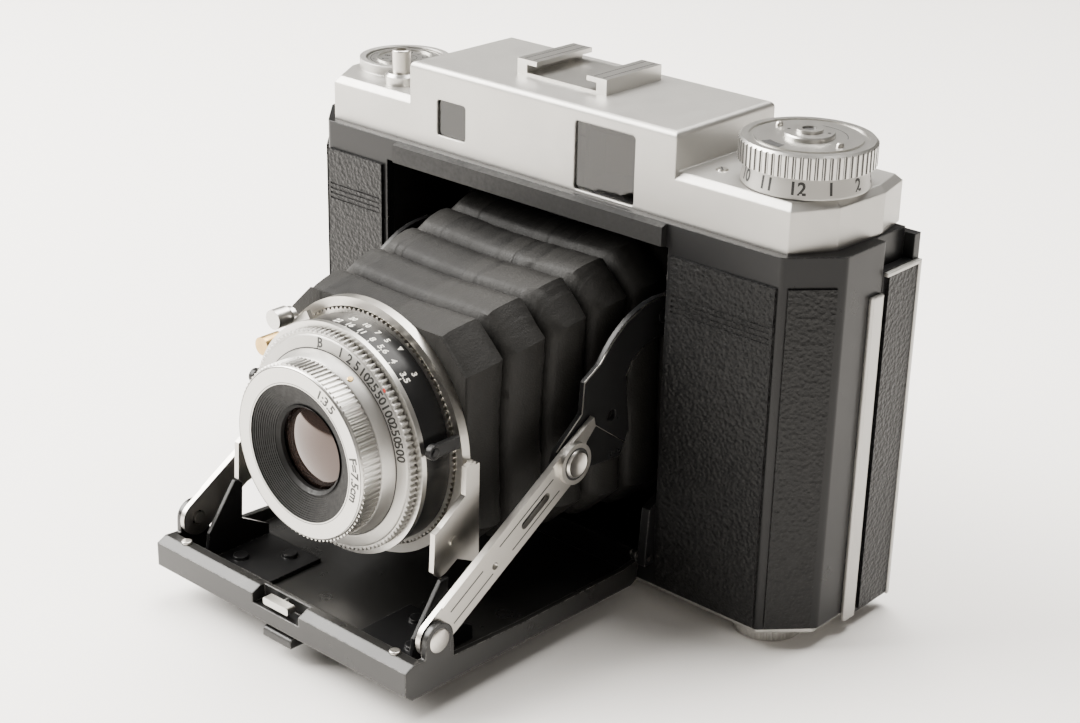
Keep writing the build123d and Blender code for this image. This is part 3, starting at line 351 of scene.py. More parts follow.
FINISHES = {
    "body_shell": ENAMEL, "lens_chamber": MATT, "light_ledge": MATT, "front_leather_right": LEATHER,
    "front_leather_left": LEATHER, "top_housing": CHROME, "finder_window": WINDOW_GLASS,
    "range_window": WINDOW_GLASS, "finder_tunnel": MATT, "eyepiece": MATT,
    "eyepiece_glass": WINDOW_GLASS, "accessory_shoe": TURNED, "release_collar": TURNED,
    "release_plunger": NICKEL, "memo_dial": TURNED, "counter_skirt": CHROME, "advance_knob": TURNED,
    "winding_shaft": NICKEL, "bottom_plate": CHROME, "tripod_bush": TURNED,
    "base_knob_right": TURNED, "base_knob_left": TURNED, "back_door": ENAMEL,
    "door_hinge_pin": NICKEL, "door_leather": LEATHER, "pressure_plate": MATT,
    "door_latch": CHROME, "take_up_spool": MATT, "supply_spool": MATT, "bed": BED_ENAMEL,
    "bed_pins": NICKEL, "hinge_brackets": ENAMEL, "bed_leather": LEATHER, "latch_tab": TURNED,
    "guide_pins": NICKEL, "stand_foot": BED_ENAMEL, "floor_links": ENAMEL,
    "lower_strut_right": NICKEL, "lower_strut_left": NICKEL, "upper_strut_right": ENAMEL,
    "upper_strut_left": ENAMEL, "joint_rivets": NICKEL, "bed_rivets": NICKEL,
    "strut_brackets": ENAMEL, "lens_standard": NICKEL, "guide_studs": ENAMEL,
    "shutter_case": ENAMEL, "aperture_ring": TURNED, "shutter_blades": MATT,
    "aperture_blades": MATT, "rear_cell": MATT, "rear_glass": LENS_GLASS, "front_glass": LENS_GLASS,
    "speed_ring": TURNED, "focus_barrel": TURNED, "name_ring": TURNED, "ribbed_bezel": MATT,
    "cocking_lever": TURNED, "sync_post": BRASS, "bellows": BELLOWS,
}


def paint(obj, material):
    obj.data.materials.clear()
    obj.data.materials.append(material)


for node_name, finish in FINISHES.items():
    paint(NODES[node_name], finish)


LUG_FRONT, LUG_RISE = 1.3 * MM, 2 * MM    # a lug is this far before the case's back, and above the lens axis


def black_lugs():
    """The lugs beside the shutter are enamelled, unlike the rest of the standard."""
    standard = NODES["lens_standard"]
    standard.data.materials.append(ENAMEL)
    rim_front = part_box("shutter_case")[1][1] - LUG_FRONT
    for polygon in standard.data.polygons:
        spot = standard.matrix_world @ polygon.center
        if spot.y < rim_front and spot.z > LENS_Z + LUG_RISE:
            polygon.material_index = 1


black_lugs()


KNURL_DEEP = 1.2 * MM
UPRIGHT, OUTWARD = 0.2, 0.985     # cosines: a side faces the axis by less, and a crest faces outward by more


def darken_grooves(node, centre, axis, radius, material):
    """Give the sunk flanks of a knurled edge about an axis (0, 1, 2) a second, darker material: painted shade
    in the grooves.
    """
    obj = NODES[node]
    obj.data.materials.append(material)
    for polygon in obj.data.polygons:
        spot = obj.matrix_world @ polygon.center - centre
        facing = (obj.matrix_world.to_3x3() @ polygon.normal).normalized()
        spot[axis] = 0.0
        flank = abs(facing[axis]) < UPRIGHT and facing.dot(spot.normalized()) < OUTWARD
        if flank and spot.length > radius - KNURL_DEEP:
            polygon.material_index = 1


# painted shade: a flat dark grey on the sunk flanks of the knurl, where shade falls
GROOVE_SHADE = ink("groove", (0.045, 0.043, 0.040), 0.4)
knob_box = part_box("advance_knob")
darken_grooves("advance_knob", KNOB, 2, (knob_box[1][0] - knob_box[0][0]) / 2, GROOVE_SHADE)


# ---------------------------------------------------------------- mesh helpers
def mesh_object(name, verts, faces, material, body, smooth=False):
    data = bpy.data.meshes.new(name)
    data.from_pydata([tuple(v) for v in verts], [], faces)
    data.validate()
    data.update()
    for polygon in data.polygons:
        polygon.use_smooth = smooth
    obj = bpy.data.objects.new(name, data)
    bpy.context.scene.collection.objects.link(obj)
    paint(obj, material)
    if body:
        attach(obj, body)
    return obj


def bevel(obj, width):
    modifier = obj.modifiers.new("edge", "BEVEL")
    modifier.width = width
    modifier.segments = 2
    modifier.limit_method = "ANGLE"
    modifier.angle_limit = math.radians(40)


def turned(name, profile, centre, axis, material, body, steps=96, smooth=True):
    """Revolve (radius, distance along axis) points about an axis through centre."""
    axis = Vector(axis).normalized()
    side = axis.orthogonal().normalized()
    other = axis.cross(side)
    verts, faces = [], []
    for step in range(steps):
        angle = math.radians(360 * step / steps)
        spoke = side * math.cos(angle) + other * math.sin(angle)
        verts += [centre + spoke * r + axis * a for r, a in profile]
    span = len(profile)
    for step in range(steps):
        near, far = step * span, ((step + 1) % steps) * span
        for k in range(span - 1):
            faces.append((near + k, near + k + 1, far + k + 1, far + k))
    obj = mesh_object(name, verts, faces, material, body, smooth)
    if smooth:
        split = obj.modifiers.new("crisp", "EDGE_SPLIT")
        split.split_angle = math.radians(35)
    return obj


def tidy_normals(obj):
    bm = bmesh.new()
    bm.from_mesh(obj.data)
    bmesh.ops.recalc_face_normals(bm, faces=bm.faces)
    bm.to_mesh(obj.data)
    bm.free()


def figures(name, text, size, place, material, body):
    """Engraved figures: text laid flat, then every point mapped to the surface by place(u, v)."""
    curve = bpy.data.curves.new(name, "FONT")
    curve.body = text
    curve.size = size
    curve.align_x = curve.align_y = "CENTER"
    curve.resolution_u = 3
    curve.offset = 0.03 * size
    source = bpy.data.objects.new(name, curve)
    bpy.context.scene.collection.objects.link(source)
    bpy.context.view_layer.update()
    flat = bpy.data.meshes.new_from_object(source)
    verts = [place(v.co.x, v.co.y) for v in flat.vertices]
    faces = [tuple(p.vertices) for p in flat.polygons]
    bpy.data.objects.remove(source)
    return mesh_object(name, verts, faces, material, body)


def on_lens(radius, degrees, y):
    """Point about the lens axis; 0 degrees is to the right, 90 is up, seen from the front."""
    angle = math.radians(degrees)
    return Vector((radius * math.cos(angle), y, LENS_Z + radius * math.sin(angle)))


def on_face(degrees, radius, depth_at):
    """Map for figures on a ring's face, with their tops outward. depth_at gives y at a radius."""
    def place(u, v):
        r = radius + v
        return on_lens(r, degrees - math.degrees(u / radius), depth_at(r))
    return place


def on_barrel(degrees, radius, y):
    """Map for figures round a barrel about the lens axis, read from the front."""
    def place(u, v):
        return on_lens(radius, degrees - math.degrees(u / radius), y + v)
    return place


def on_skirt(degrees, centre, height, radius_at):
    """Map for figures round an upright cone, read from outside."""
    def place(u, v):
        z = height + v
        r = radius_at(z)
        angle = math.radians(degrees) + u / r
        return Vector((centre[0] + r * math.cos(angle), centre[1] + r * math.sin(angle), z))
    return place


def side_view(x, side=1):
    """Map of (depth, height) in mm and a distance outward to the plane at x."""
    def place(u, v, w):
        return Vector((side * (x * MM + w), FRONT_Y + u * MM, COVER_Z + v * MM))
    return place


def ribbon(name, points, width, thick, place, material, body, closed=False):
    """Flat strip of constant width along a line of (u, v) points."""
    count = len(points)
    left, right = [], []
    for k, (u, v) in enumerate(points):
        back = points[k - 1] if closed or k else points[k]
        ahead = points[(k + 1) % count] if closed or k < count - 1 else points[k]
        run = Vector((ahead[0] - back[0], ahead[1] - back[1])).normalized()
        left.append((u - run.y * width / 2, v + run.x * width / 2))
        right.append((u + run.y * width / 2, v - run.x * width / 2))
    if closed:
        verts = [place(u, v, w) for w in (0, thick) for ring in (left, right) for u, v in ring]
        faces = []
        for k in range(count):
            n = (k + 1) % count
            faces += [(k, n, count + n, count + k),
                      (2 * count + k, 3 * count + k, 3 * count + n, 2 * count + n),
                      (k, 2 * count + k, 2 * count + n, n),
                      (count + k, count + n, 3 * count + n, 3 * count + k)]
    else:
        outline = left + right[::-1]
        total = len(outline)
        verts = [place(u, v, w) for w in (0, thick) for u, v in outline]
        faces = [(k, k + 1, 2 * count - 2 - k, 2 * count - 1 - k) for k in range(count - 1)]
        faces += [tuple(total + i for i in reversed(face)) for face in faces]
        faces += [(k, (k + 1) % total, total + (k + 1) % total, total + k) for k in range(total)]
    obj = mesh_object(name, verts, faces, material, body)
    tidy_normals(obj)
    return obj


# ---------------------------------------------------------------- bellows
# one pleat from valley to valley: (place along it, depth below the crest as a share of the fold)
PLEAT = ((0.0, 1.0), (0.045, 0.92), (0.10, 0.42), (0.15, 0.12), (0.22, 0.02), (0.40, -0.04), (0.62, -0.03),
         (0.80, 0.03), (0.87, 0.14), (0.92, 0.46), (0.96, 0.92))
PLEATS = 6
FOLD_SIDE, FOLD_BOTTOM, FOLD_TOP = 4.4 * MM, 3.6 * MM, 4.2 * MM
CORNER_CREST, CORNER_FOLD = 6.4, 3.2      # bevelled corner on a crest, and what a fold takes off it, mm
SAG, WRINKLE, WAVER = 0.5, 0.22, 0.12     # hang of a flat side and unevenness of the cloth, mm
LONG_SIDE = 14 * MM
SIDE_CUTS, CORNER_CUTS = 20, 3
CLOTH, FOLDED_SHARE = 0.5 * MM, 0.12
TURN_IN = 0.9                             # the front edge turns in to this share of its size


def bellows_loop(half, bottom, top, corner, y, fade):
    """Points round the bellows at one depth: four flat sides that sag a little, and four bevelled corners."""
    outline = []
    for sx, sz in ((1, 1), (-1, 1), (-1, -1), (1, -1)):
        z = top if sz > 0 else bottom
        pair = [(sx * half, z - sz * corner), (sx * (half - corner), z)]
        outline += pair if sx * sz > 0 else pair[::-1]
    points = []
    for k, (x0, z0) in enumerate(outline):
        x1, z1 = outline[(k + 1) % len(outline)]
        long_side = math.hypot(x1 - x0, z1 - z0) > LONG_SIDE
        cuts = SIDE_CUTS if long_side else CORNER_CUTS
        for c in range(cuts):
            s = c / cuts
            x, z = x0 + (x1 - x0) * s, z0 + (z1 - z0) * s
            droop = (SAG * math.sin(math.pi * s) ** 2 + rng.uniform(0, WRINKLE)) * MM * fade if c else 0.0
            if long_side and abs(x1 - x0) < MM:
                x -= math.copysign(droop, x)
            elif long_side:
                z -= math.copysign(droop, z - (top + bottom) / 2)
            points.append((x, y + rng.uniform(-WAVER, WAVER) * MM * fade, z))
    return points


def bellows():
    """Pleated cloth: broad flat ridges, narrow folds and bevelled corners, from the gate to the standard."""
    low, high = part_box("bellows")
    back, front = high[1] - 0.3 * MM, low[1] + 0.2 * MM
    # half width, bottom and top at the two ends
    rear = (29.4 * MM, low[2] + 0.6 * MM, high[2] - 0.4 * MM)
    lens = (24.0 * MM, low[2] + 7.6 * MM, high[2] - 9.2 * MM)
    stations = [((k + along) / PLEATS, depth) for k in range(PLEATS) for along, depth in PLEAT] + [(1.0, 1.0)]
    loops = []
    for t, depth in stations:
        fade = min(1.0, t * 12, (1 - t) * 14)
        dip = depth * fade
        half, bottom, top = (a + (b - a) * t for a, b in zip(rear, lens))
        half, bottom, top = half - FOLD_SIDE * dip, bottom + FOLD_BOTTOM * dip, top - FOLD_TOP * dip
        corner = (CORNER_CREST - CORNER_FOLD * max(0.0, dip)) * MM
        loops.append(bellows_loop(half, bottom, top, corner, back + (front - back) * t, fade))
    loops.append([(TURN_IN * x, y, LENS_Z + TURN_IN * (z - LENS_Z)) for x, y, z in loops[-1]])
    verts = [p for loop in loops for p in loop]
    span = len(loops[0])
    faces = [(row * span + k, row * span + (k + 1) % span, (row + 1) * span + (k + 1) % span,
              (row + 1) * span + k) for row in range(len(loops) - 1) for k in range(span)]
    obj = mesh_object("bellows_cloth", verts, faces, BELLOWS, "root", smooth=True)
    thick = obj.modifiers.new("thick", "SOLIDIFY")
    thick.thickness = CLOTH
    thick.offset = 1
    creased = obj.modifiers.new("creased", "EDGE_SPLIT")
    creased.split_angle = math.radians(38)
    bpy.context.view_layer.objects.active = obj
    for modifier in list(obj.modifiers):
        bpy.ops.object.modifier_apply(modifier=modifier.name)
    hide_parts("bellows")
    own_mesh(obj)


bellows()


# ---------------------------------------------------------------- lens details
SPEEDS = (("B", 95.1), ("1", 78.6), ("2", 71.6), ("5", 65.4), ("10", 58.9), ("25", 51.6), ("50", 43.4),
          ("100", 33.9), ("250", 23.3), ("500", 12.5))
STOPS = (("3.5", 46.6), ("4", 56.0), ("5.6", 64.0), ("8", 71.5), ("11", 79.0), ("16", 87.0), ("22", 95.0))
MARKS = (("3", 46.3), ("5", 67.7), ("7", 74.3), ("10", 82.0), ("20", 91.0))
PAINT = 0.02 * MM                 # height of filled figures over their surface
FRONTWARD = (0, -1, 0)            # along the lens axis, out of the camera


def dash(name, place, width, tall, material, body):
    """Painted stroke centred at the map's origin."""
    u, v = width / 2, tall / 2
    corners = [place(*corner) for corner in ((-u, -v), (u, -v), (u, v), (-u, v))]
    return mesh_object(name, corners, [(0, 1, 2, 3)], material, body)


def toothed(name, inner, outer, cut, count, back, front, material, body):
    """Serrated ring about the lens axis between two depths."""
    verts, faces = [], []
    total = 4 * count
    for k in range(total):
        degrees = 360 * k / total
        crown = outer if k % 4 in (0, 1) else outer - cut
        section = ((inner, front), (crown, front), (crown, back), (inner, back))
        verts += [on_lens(radius, degrees, y) for radius, y in section]
    for k in range(total):
        n = (k + 1) % total
        faces += [(4 * k + i, 4 * k + i + 1, 4 * n + i + 1, 4 * n + i) for i in range(3)]
    obj = mesh_object(name, verts, faces, material, body)
    tidy_normals(obj)
    return obj


def speed_ring():
    """Number band with a toothed edge."""
    inner, start, rim, slope = 18.68 * MM, 18.8 * MM, 21.15 * MM, 0.16
    lip, band_back = 0.2 * MM, -1.6 * MM
    tooth_tip, tooth, teeth = 22.2 * MM, 0.5 * MM, 110
    figure_size, figure_radius = 2.65 * MM, 19.95 * MM
    drop = (rim - start) * slope
    edge_y = SPEED_FACE + drop + lip
    face = Vector((0, SPEED_FACE, LENS_Z))

    def band_depth(r):
        return SPEED_FACE - PAINT + (r - start) * slope

    profile = [(inner, band_back), (inner, 0), (start, 0), (rim, -drop), (rim + lip, -drop - 0.3 * MM),
               (rim + lip, band_back)]
    band = turned("speed_band", profile, face, FRONTWARD, CHROME, "speed_ring", 128)
    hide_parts("speed_ring")
    toothed("speed_teeth", rim - lip, tooth_tip, tooth, teeth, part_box("speed_ring")[1][1], edge_y, CHROME,
            "speed_ring")
    for text, degrees in SPEEDS:
        place = on_face(degrees, figure_radius, band_depth)
        figures("speed_" + text, text, figure_size, place, BLACK_INK_AND_SHADE, "speed_ring")
    dash("speed_index", on_face(97.0, 19.0 * MM, band_depth), 0.2 * MM, 0.7 * MM, BLACK_INK_AND_SHADE, "speed_ring")
    groove = [(18.65 * MM, PAINT), (18.84 * MM, PAINT)]
    turned("speed_groove", groove, face, FRONTWARD, BLACK_INK_AND_SHADE, "speed_ring")
    dot = [(0, 0.05 * MM), (0.4 * MM, 0.05 * MM), (0.4 * MM, 0)]
    turned("red_dot", dot, on_lens(21.5 * MM, 45.4, edge_y), FRONTWARD, RED_INK, "speed_ring", 20)


def focus_ring():
    """Smooth cone behind a short band of flutes, with the clamping screw in the cone."""
    foot, neck, front, step = 18.62 * MM, 17.55 * MM, 16.9 * MM, 0.35 * MM
    flutes, flute_deep, flute_count = 2.8 * MM, 0.42 * MM, 96
    inside = front - 0.9 * MM
    barrel_r, barrel_back, gap = 12.3 * MM, -3.2 * MM, -0.1 * MM
    face = SPEED_FACE - NAME_FACE - step
    origin = Vector((0, SPEED_FACE, LENS_Z))
    profile = [(foot, gap), (foot, 0.15 * MM), (neck, flutes - 0.3 * MM), (neck - step, flutes - 0.25 * MM),
               (neck - step, flutes + 0.1 * MM)]
    cone = turned("focus_cone", profile, origin, FRONTWARD, CHROME, "lens_front", 128)
    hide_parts("focus_barrel")
    ring = toothed("focus_flutes", inside, neck + 0.12 * MM, flute_deep, flute_count, SPEED_FACE - flutes,
                   NAME_FACE + 0.55 * MM, TURNED, "lens_front")
    rear_wall = [(barrel_r, barrel_back), (barrel_r, gap), (foot, gap)]
    turned("barrel_back", rear_wall, origin, FRONTWARD, MATT, "lens_front")
    front_wall = [(neck - 0.6 * MM, face - 0.3 * MM), (inside, face)]
    turned("barrel_front", front_wall, origin, FRONTWARD, TURNED, "lens_front")
    screw_angle = 63.0
    radial, frontward = 0.947, 0.32      # the screw stands square to the sloped barrel
    spoke = on_lens(1.0, screw_angle, 0) - Vector((0, 0, LENS_Z))
    outward = (radial * spoke.x, -frontward, radial * spoke.z)
    head = [(0, 0.12 * MM), (0.5 * MM, 0.1 * MM), (0.62 * MM, 0)]
    turned("focus_screw", head, on_lens(18.08 * MM, screw_angle, SPEED_FACE - 1.4 * MM), outward, BRASS,
           "lens_front", 24)


def case_details():
    """Stop and distance numbers round the shutter case, and the fine teeth of its back edge."""
    case_front, case_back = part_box("shutter_case")[0][1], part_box("shutter_case")[1][1]
    painted = CASE_R + PAINT
    for text, degrees in STOPS:
        place = on_barrel(degrees, painted, case_front + 1.75 * MM)
        figures("stop_" + text, text, 1.9 * MM, place, WHITE_INK, "standard")
        dash("stop_tick_" + text, on_barrel(degrees, painted, case_front + 0.45 * MM), 0.22 * MM, 0.8 * MM,
             WHITE_INK, "standard")
    for text, degrees in MARKS:
        place = on_barrel(degrees, painted, case_front + 4.1 * MM)
        figures("mark_" + text, text, 1.7 * MM, place, WHITE_INK, "standard")
    pointer = on_barrel(60.8, painted, case_front + 5.1 * MM)
    half = 0.5 * MM
    mesh_object("pointer", [pointer(-half, half), pointer(half, half), pointer(0, -0.7 * MM)], [(0, 1, 2)],
                WHITE_INK, "standard")
    toothed("case_serration", CASE_R, 24.05 * MM, 0.42 * MM, 120, case_back - 0.1 * MM, case_back - 1.2 * MM,
            NICKEL, "standard")


def name_ring():
    """Lens speed and focal length only, between two fine grooves."""
    for name, text, degrees in (("aperture", "1:3.5", 59.0), ("focal", "F=7.5cm", -1.5)):
        figures("lens_" + name, text, 2.7 * MM, on_face(degrees, 15.35 * MM, lambda r: NAME_FACE - PAINT),
                BLACK_INK_AND_SHADE, "lens_front")
    face = Vector((0, NAME_FACE, LENS_Z))
    for radius in (13.95 * MM, 16.95 * MM):
        turned("name_groove", [(radius, PAINT), (radius + 0.12 * MM, PAINT)], face, FRONTWARD, BLACK_INK_AND_SHADE,
               "lens_front")


def front_optics():
    """Ribbed black funnel, domed front glass and the seat behind it."""
    ribs, wide, narrow, deep, land = 13, 13.62 * MM, 8.7 * MM, 2.6 * MM, 0.75
    funnel = []
    for k in range(ribs + 1):
        radius = wide + (narrow - wide) * k / ribs
        funnel += [(radius, -deep * k / ribs), (radius, -deep * (k + land) / ribs)]
    bore = turned("ribbed_funnel", funnel, Vector((0, NAME_FACE + 0.15 * MM, LENS_Z)), FRONTWARD, MATT,
                  "lens_front", smooth=False)
    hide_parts("ribbed_bezel")
    ball, rim, rings = 19.0 * MM, 9.0 * MM, 14
    dome = [(rim * k / rings, math.sqrt(ball ** 2 - (rim * k / rings) ** 2) - ball) for k in range(rings + 1)]
    lens = turned("front_dome", dome, Vector((0, NAME_FACE + 2.35 * MM, LENS_Z)), FRONTWARD, LENS_GLASS,
                  "lens_front")
    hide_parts("front_glass")
    seat = [(8.95 * MM, 0.9 * MM), (8.3 * MM, 0.25 * MM), (8.3 * MM, -0.6 * MM)]
    turned("glass_seat", seat, Vector((0, NAME_FACE + 3.1 * MM, LENS_Z)), FRONTWARD, MATT, "lens_front")


speed_ring()
focus_ring()
case_details()
name_ring()
front_optics()


# ---------------------------------------------------------------- details of the top housing
KNOB_TICK = -32.7                 # where the counter's 1 stands
SKIRT_R, SKIRT_SLOPE = 12.2 * MM, math.tan(math.radians(9))
UPWARD = (0, 0, 1)


def slotted_screw(name, centre, axis, radius, body):
    """Countersunk screw head; its slot is a black stroke of painted shade."""
    turned(name, [(0, 0.30 * MM), (0.8 * radius, 0.26 * MM), (radius, 0)], centre, axis, NICKEL, body, 32)
    axis = Vector(axis).normalized()
    across = axis.orthogonal().normalized()
    along = axis.cross(across)

    def place(u, v):
        return centre + axis * 0.31 * MM + across * u + along * v
    # painted shade: a black stroke stands for the shadowed slot
    dash(name + "_slot", place, 0.3 * radius, 1.7 * radius, BLACK_INK_AND_SHADE, body)


def polar(radius, degrees):
    return radius * math.cos(math.radians(degrees)), radius * math.sin(math.radians(degrees))


def arc(radius, first, last, steps=24):
    return [polar(radius, first + (last - first) * k / steps) for k in range(steps + 1)]


def flat_map(centre, height):
    """Map to a level plane with its origin at centre."""
    def place(u, v, w=0.0):
        return Vector((centre[0] + u, centre[1] + v, height + w))
    return place


def knob_details():
    """Counter numbers on the skirt, and the window, arc, pins and washer on the advance knob."""
    counts, count_size, count_height = 12, 3.3 * MM, SKIRT_LOW[2] + 1.9 * MM

    def skirt_radius(z):
        return SKIRT_R - (z - SKIRT_LOW[2]) * SKIRT_SLOPE + PAINT

    for number in range(1, counts + 1):
        place = on_skirt(KNOB_TICK + 360 / counts * (number - 1), KNOB, count_height, skirt_radius)
        figures(f"count_{number}", str(number), count_size, place, BLACK_INK_AND_SHADE, "advance_knob")
    face = flat_map(KNOB, KNOB_FACE + PAINT)
    window = arc(8.0 * MM, -116, -88, 8) + arc(10.0 * MM, -88, -116, 8)
    mesh_object("knob_window", [face(u, v) for u, v in window], [tuple(range(len(window)))], BLACK_INK_AND_SHADE,
                "advance_knob")
    ribbon("knob_arc", arc(7.2 * MM, 128, 26), 0.16 * MM, PAINT, face, BLACK_INK_AND_SHADE, "advance_knob")
    pin = [(0, 0.75 * MM), (0.5 * MM, 0.68 * MM), (0.72 * MM, 0.4 * MM), (0.72 * MM, 0)]
    for degrees in (168, -11):
        turned("knob_pin", pin, face(*polar(8.1 * MM, degrees)), UPWARD, NICKEL, "advance_knob", 24)
    boss = flat_map(KNOB, KNOB_FACE)
    washer = [(2.4 * MM, 0.95 * MM), (4.7 * MM, 0.85 * MM), (4.9 * MM, 0.6 * MM), (4.9 * MM, 0)]
    turned("knob_washer", washer, boss(0, 0), UPWARD, TURNED, "advance_knob")
    # painted shade: black discs stand for the two holes in the washer
    hole = [(0, 0.96 * MM), (0.33 * MM, 0.96 * MM)]
    for degrees in (205, 20):
        turned("washer_hole", hole, boss(*polar(3.8 * MM, degrees)), UPWARD, BLACK_INK_AND_SHADE, "advance_knob", 20)
    # painted shade: a black disc stands for the recess in the middle of the washer
    recess = [(0, 1.12 * MM), (1.35 * MM, 1.12 * MM)]
    turned("knob_recess", recess, boss(0, 0), UPWARD, BLACK_INK_AND_SHADE, "advance_knob", 32)


def dial_details():
    """Rings, dots and numbers on the film reminder dial."""
    dial_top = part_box("memo_dial")[1][2]
    dial = flat_map(DIAL, dial_top - 0.4 * MM + PAINT)
    for radius in (2.6 * MM, 7.6 * MM):
        ribbon("dial_ring", arc(radius, 0, 354, 60), 0.14 * MM, PAINT, dial, BLACK_INK_AND_SHADE, "memo_dial", True)
    dot, dot_radius, inward = [(0, PAINT), (0.2 * MM, PAINT)], 7.0 * MM, 0.62
    for number, degrees in enumerate(range(90, -270, -36), start=1):
        x, y = polar(dot_radius, degrees)
        turned("dial_dot", dot, dial(x, y), UPWARD, BLACK_INK_AND_SHADE, "memo_dial", 16)

        def place(u, v, turn=math.radians(degrees - 90), x=x * inward, y=y * inward):
            return dial(x + u * math.cos(turn) - v * math.sin(turn),
                        y + u * math.sin(turn) + v * math.cos(turn))
        figures(f"dial_{number}", str(number), 1.9 * MM, place, BLACK_INK_AND_SHADE, "memo_dial")
    slotted_screw("dial_screw", Vector((DIAL[0], DIAL[1], dial_top)), UPWARD, 1.5 * MM, "memo_dial")


def rail_grooves():
    """Two fine grooves along each rail of the accessory shoe, drawn as black lines of painted shade."""
    low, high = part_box("accessory_shoe")
    rail_middle, spread, short = 2.6 * MM, 1.15 * MM, 0.6 * MM
    for x in (low[0] + rail_middle, high[0] - rail_middle):
        rail = flat_map((x, 0), high[2])
        for offset in (-spread, spread):
            line = [(offset, low[1] + short), (offset, high[1] - short)]
            # painted shade: a thin black strip for each groove
            ribbon("rail_groove", line, 0.18 * MM, PAINT, rail, BLACK_INK_AND_SHADE, "root")


def half_mirror():
    """Slanting mirror inside the finder."""
    tunnel_low, tunnel_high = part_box("finder_tunnel")
    mid_x, mid_z = (tunnel_low[0] + tunnel_high[0]) / 2, (tunnel_low[2] + tunnel_high[2]) / 2
    y, slant = tunnel_low[1] + 5 * MM, 7 * MM
    wide, tall = 5.6 * MM, 5.1 * MM
    corners = [(mid_x - wide, y, mid_z - tall), (mid_x + wide, y + slant, mid_z - tall),
               (mid_x + wide, y + slant, mid_z + tall), (mid_x - wide, y, mid_z + tall)]
    mesh_object("half_mirror", corners, [(0, 1, 2, 3)], MIRROR_GLASS, "root")


knob_details()
dial_details()
slotted_screw("plateau_screw", Vector((42.8 * MM, FRONT_Y + 9.7 * MM, PLATEAU_Z)), UPWARD, 1.25 * MM, "root")
rail_grooves()
half_mirror()


# ---------------------------------------------------------------- details of bed, struts and door
# places in the side view are (depth from the body's front, height above the covers), in mm
STRUT_FOOT, STRUT_HEAD = (-58.8, 11.0), (-21.3, 33.6)
STRUT_OUT, HEAD_OUT, FOOT_OUT, PLATE_OUT = 34.4, 35.4, 35.8, 33.0     # faces outward from the middle
STRUT_GROOVES = ((5.5, 15.5, 0.9), (4.8, 17.0, -1.9), (21.0, 38.2, 1.5), (23.0, 38.2, -2.1))
PLATE_FRONT = ((-24.6, 36.4), (-17.4, 42.0), (-16.9, 48.4), (-12.4, 50.9), (-9.0, 54.4), (-5.0, 57.3),
               (0.4, 59.4), (6.7, 60.0))
PLATE_INNER = ((-4.4, 46.0), (-2.6, 48.9), (0.4, 50.6))
PLATE_LINE = ((-15.0, 39.6), (-9.0, 35.2), (-4.0, 31.6))
NOSE = 3                                  # points of the plate's front that belong to its nose
FLANGE_OUT = 72.9                         # the door's right flange
STRIP_DEPTH, STRIP_SCREWS = 20.2, (69.0, 8.0)


def on_strut(side):
    """Map of distance along the strut from its foot, and up across it, in mm."""
    lean = math.atan2(STRUT_HEAD[1] - STRUT_FOOT[1], STRUT_HEAD[0] - STRUT_FOOT[0])
    flat = side_view(STRUT_OUT, side)

    def place(u, v, w=0.0):
        return flat(STRUT_FOOT[0] + u * math.cos(lean) - v * math.sin(lean),
                    STRUT_FOOT[1] + u * math.sin(lean) + v * math.cos(lean), w)
    return place


def strut_details(side):
    """Pressed grooves drawn as black lines of painted shade, rivet faces, and the bare edges of the black
    plate.
    """
    place = on_strut(side)
    outward = (side, 0, 0)
    # painted shade: each pressed groove is a thin black strip
    for first, last, across in STRUT_GROOVES:
        line = [(first, across), (last, across)]
        ribbon("strut_groove", line, 0.28, PAINT, place, BLACK_INK_AND_SHADE, "lower_struts")
    head = side_view(HEAD_OUT, side)(*STRUT_HEAD, 0)
    rim, gap = 2.85 * MM, 3.3 * MM
    rivet = [(0, 0.15 * MM), (2.0 * MM, 0.25 * MM), (2.5 * MM, 0.45 * MM), (2.75 * MM, 0.2 * MM), (rim, 0)]
    turned("joint_face", rivet, head, outward, NICKEL, "lower_struts", 48)
    turned("joint_gap", [(rim, PAINT), (gap, PAINT)], head, outward, BLACK_INK_AND_SHADE, "lower_struts", 48)
    foot = side_view(FOOT_OUT, side)(*STRUT_FOOT, 0)
    foot_rivet = [(0, 0.3 * MM), (2.1 * MM, 0.25 * MM), (2.45 * MM, 0)]
    turned("foot_face", foot_rivet, foot, outward, NICKEL, "bed", 48)
    plate = side_view(PLATE_OUT, side)
    for name, line, width, thick in (("plate_edge", PLATE_FRONT[NOSE - 1:], 0.42, 0.05 * MM),
                                     ("plate_nose", PLATE_FRONT[:NOSE], 0.3, 0.05 * MM),
                                     ("plate_inner", PLATE_INNER, 0.3, 0.05 * MM),
                                     ("plate_line", PLATE_LINE, 0.16, 0.04 * MM)):
        ribbon(name, line, width, thick, plate, NICKEL, "upper_struts")


def door_trim():
    """Chrome frame round the pad on the door's right flange, and the screws of the strip beside it."""
    flange = side_view(FLANGE_OUT)
    front, rear, bottom, top = 21.6, 32.9, -1.6, 70.95
    width, overlap = 0.85, 0.4
    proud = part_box("door_leather")[1][0] - FLANGE_OUT * MM + 0.25 * MM
    for name, line in (("trim_top", [(front, top), (rear + overlap, top)]),
                       ("trim_rear", [(rear, bottom), (rear, top)])):
        bevel(ribbon(name, line, width, proud, flange, CHROME, "door"), 0.15 * MM)
    for height in STRIP_SCREWS:
        slotted_screw("strip_screw", flange(STRIP_DEPTH, height, -0.3 * MM), (1, 0, 0), 0.5 * MM, "root")


for hand in (1, -1):
    strut_details(hand)
door_trim()


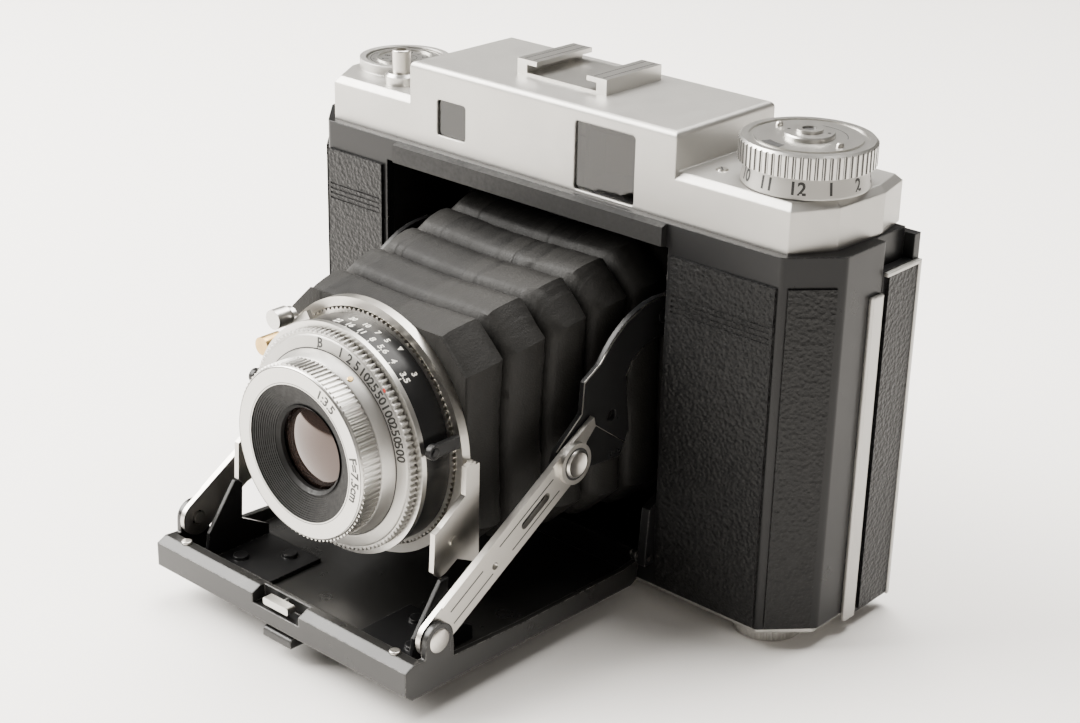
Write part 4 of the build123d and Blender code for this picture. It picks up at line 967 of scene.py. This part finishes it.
# ---------------------------------------------------------------- camera, floor and light
def camera():
    """Viewpoint of the photograph: azimuth, elevation and roll about the view axis."""
    azimuth, elevation, roll = (math.radians(a) for a in (41.671, 23.307, 1.267))
    target, distance = Vector((24.256, -29.5, 55.678)) * MM, 386.7 * MM
    back = Vector((math.sin(azimuth) * math.cos(elevation), -math.cos(azimuth) * math.cos(elevation),
                   math.sin(elevation)))
    right = Vector((math.cos(azimuth), math.sin(azimuth), 0))
    up = back.cross(right)
    right_rolled = right * math.cos(roll) + up * math.sin(roll)
    up_rolled = up * math.cos(roll) - right * math.sin(roll)
    data = bpy.data.cameras.new("camera")
    data.sensor_width = 36.0
    data.lens = 67.30
    data.clip_start = 0.01
    obj = bpy.data.objects.new("camera", data)
    bpy.context.scene.collection.objects.link(obj)
    matrix = Matrix((right_rolled, up_rolled, back)).transposed().to_4x4()
    obj.matrix_world = Matrix.Translation(target + back * distance) @ matrix
    bpy.context.scene.camera = obj


def area_light(name, place, aim, size, power, colour):
    data = bpy.data.lights.new(name, "AREA")
    data.shape = "RECTANGLE"
    data.size, data.size_y = size
    data.energy = power
    data.color = colour
    obj = bpy.data.objects.new(name, data)
    bpy.context.scene.collection.objects.link(obj)
    obj.location = place
    obj.rotation_euler = (Vector(aim) - Vector(place)).to_track_quat("-Z", "Y").to_euler()


def studio():
    half = 3
    corners = [(-half, -half, 0), (half, -half, 0), (half, half, 0), (-half, half, 0)]
    floor = mesh_object("floor", corners, [(0, 1, 2, 3)], floor_paper(), None)
    area_light("key", (-0.66, -0.36, 0.62), (-0.02, -0.02, 0.03), (0.75, 0.75), 48, (1.0, 0.975, 0.935))
    area_light("top", (-0.10, 0.35, 0.95), (0, 0, 0.05), (0.9, 0.7), 30, (1.0, 0.975, 0.94))
    area_light("fill", (0.95, -0.45, 0.50), (0, 0, 0.05), (0.5, 0.6), 1.2, (1.0, 0.94, 0.87))
    world = bpy.data.worlds.new("studio")
    world.use_nodes = True
    sky = world.node_tree.nodes["Background"]
    sky.inputs["Color"].default_value = (1.0, 0.945, 0.88, 1)
    sky.inputs["Strength"].default_value = 0.20
    bpy.context.scene.world = world


camera()
studio()
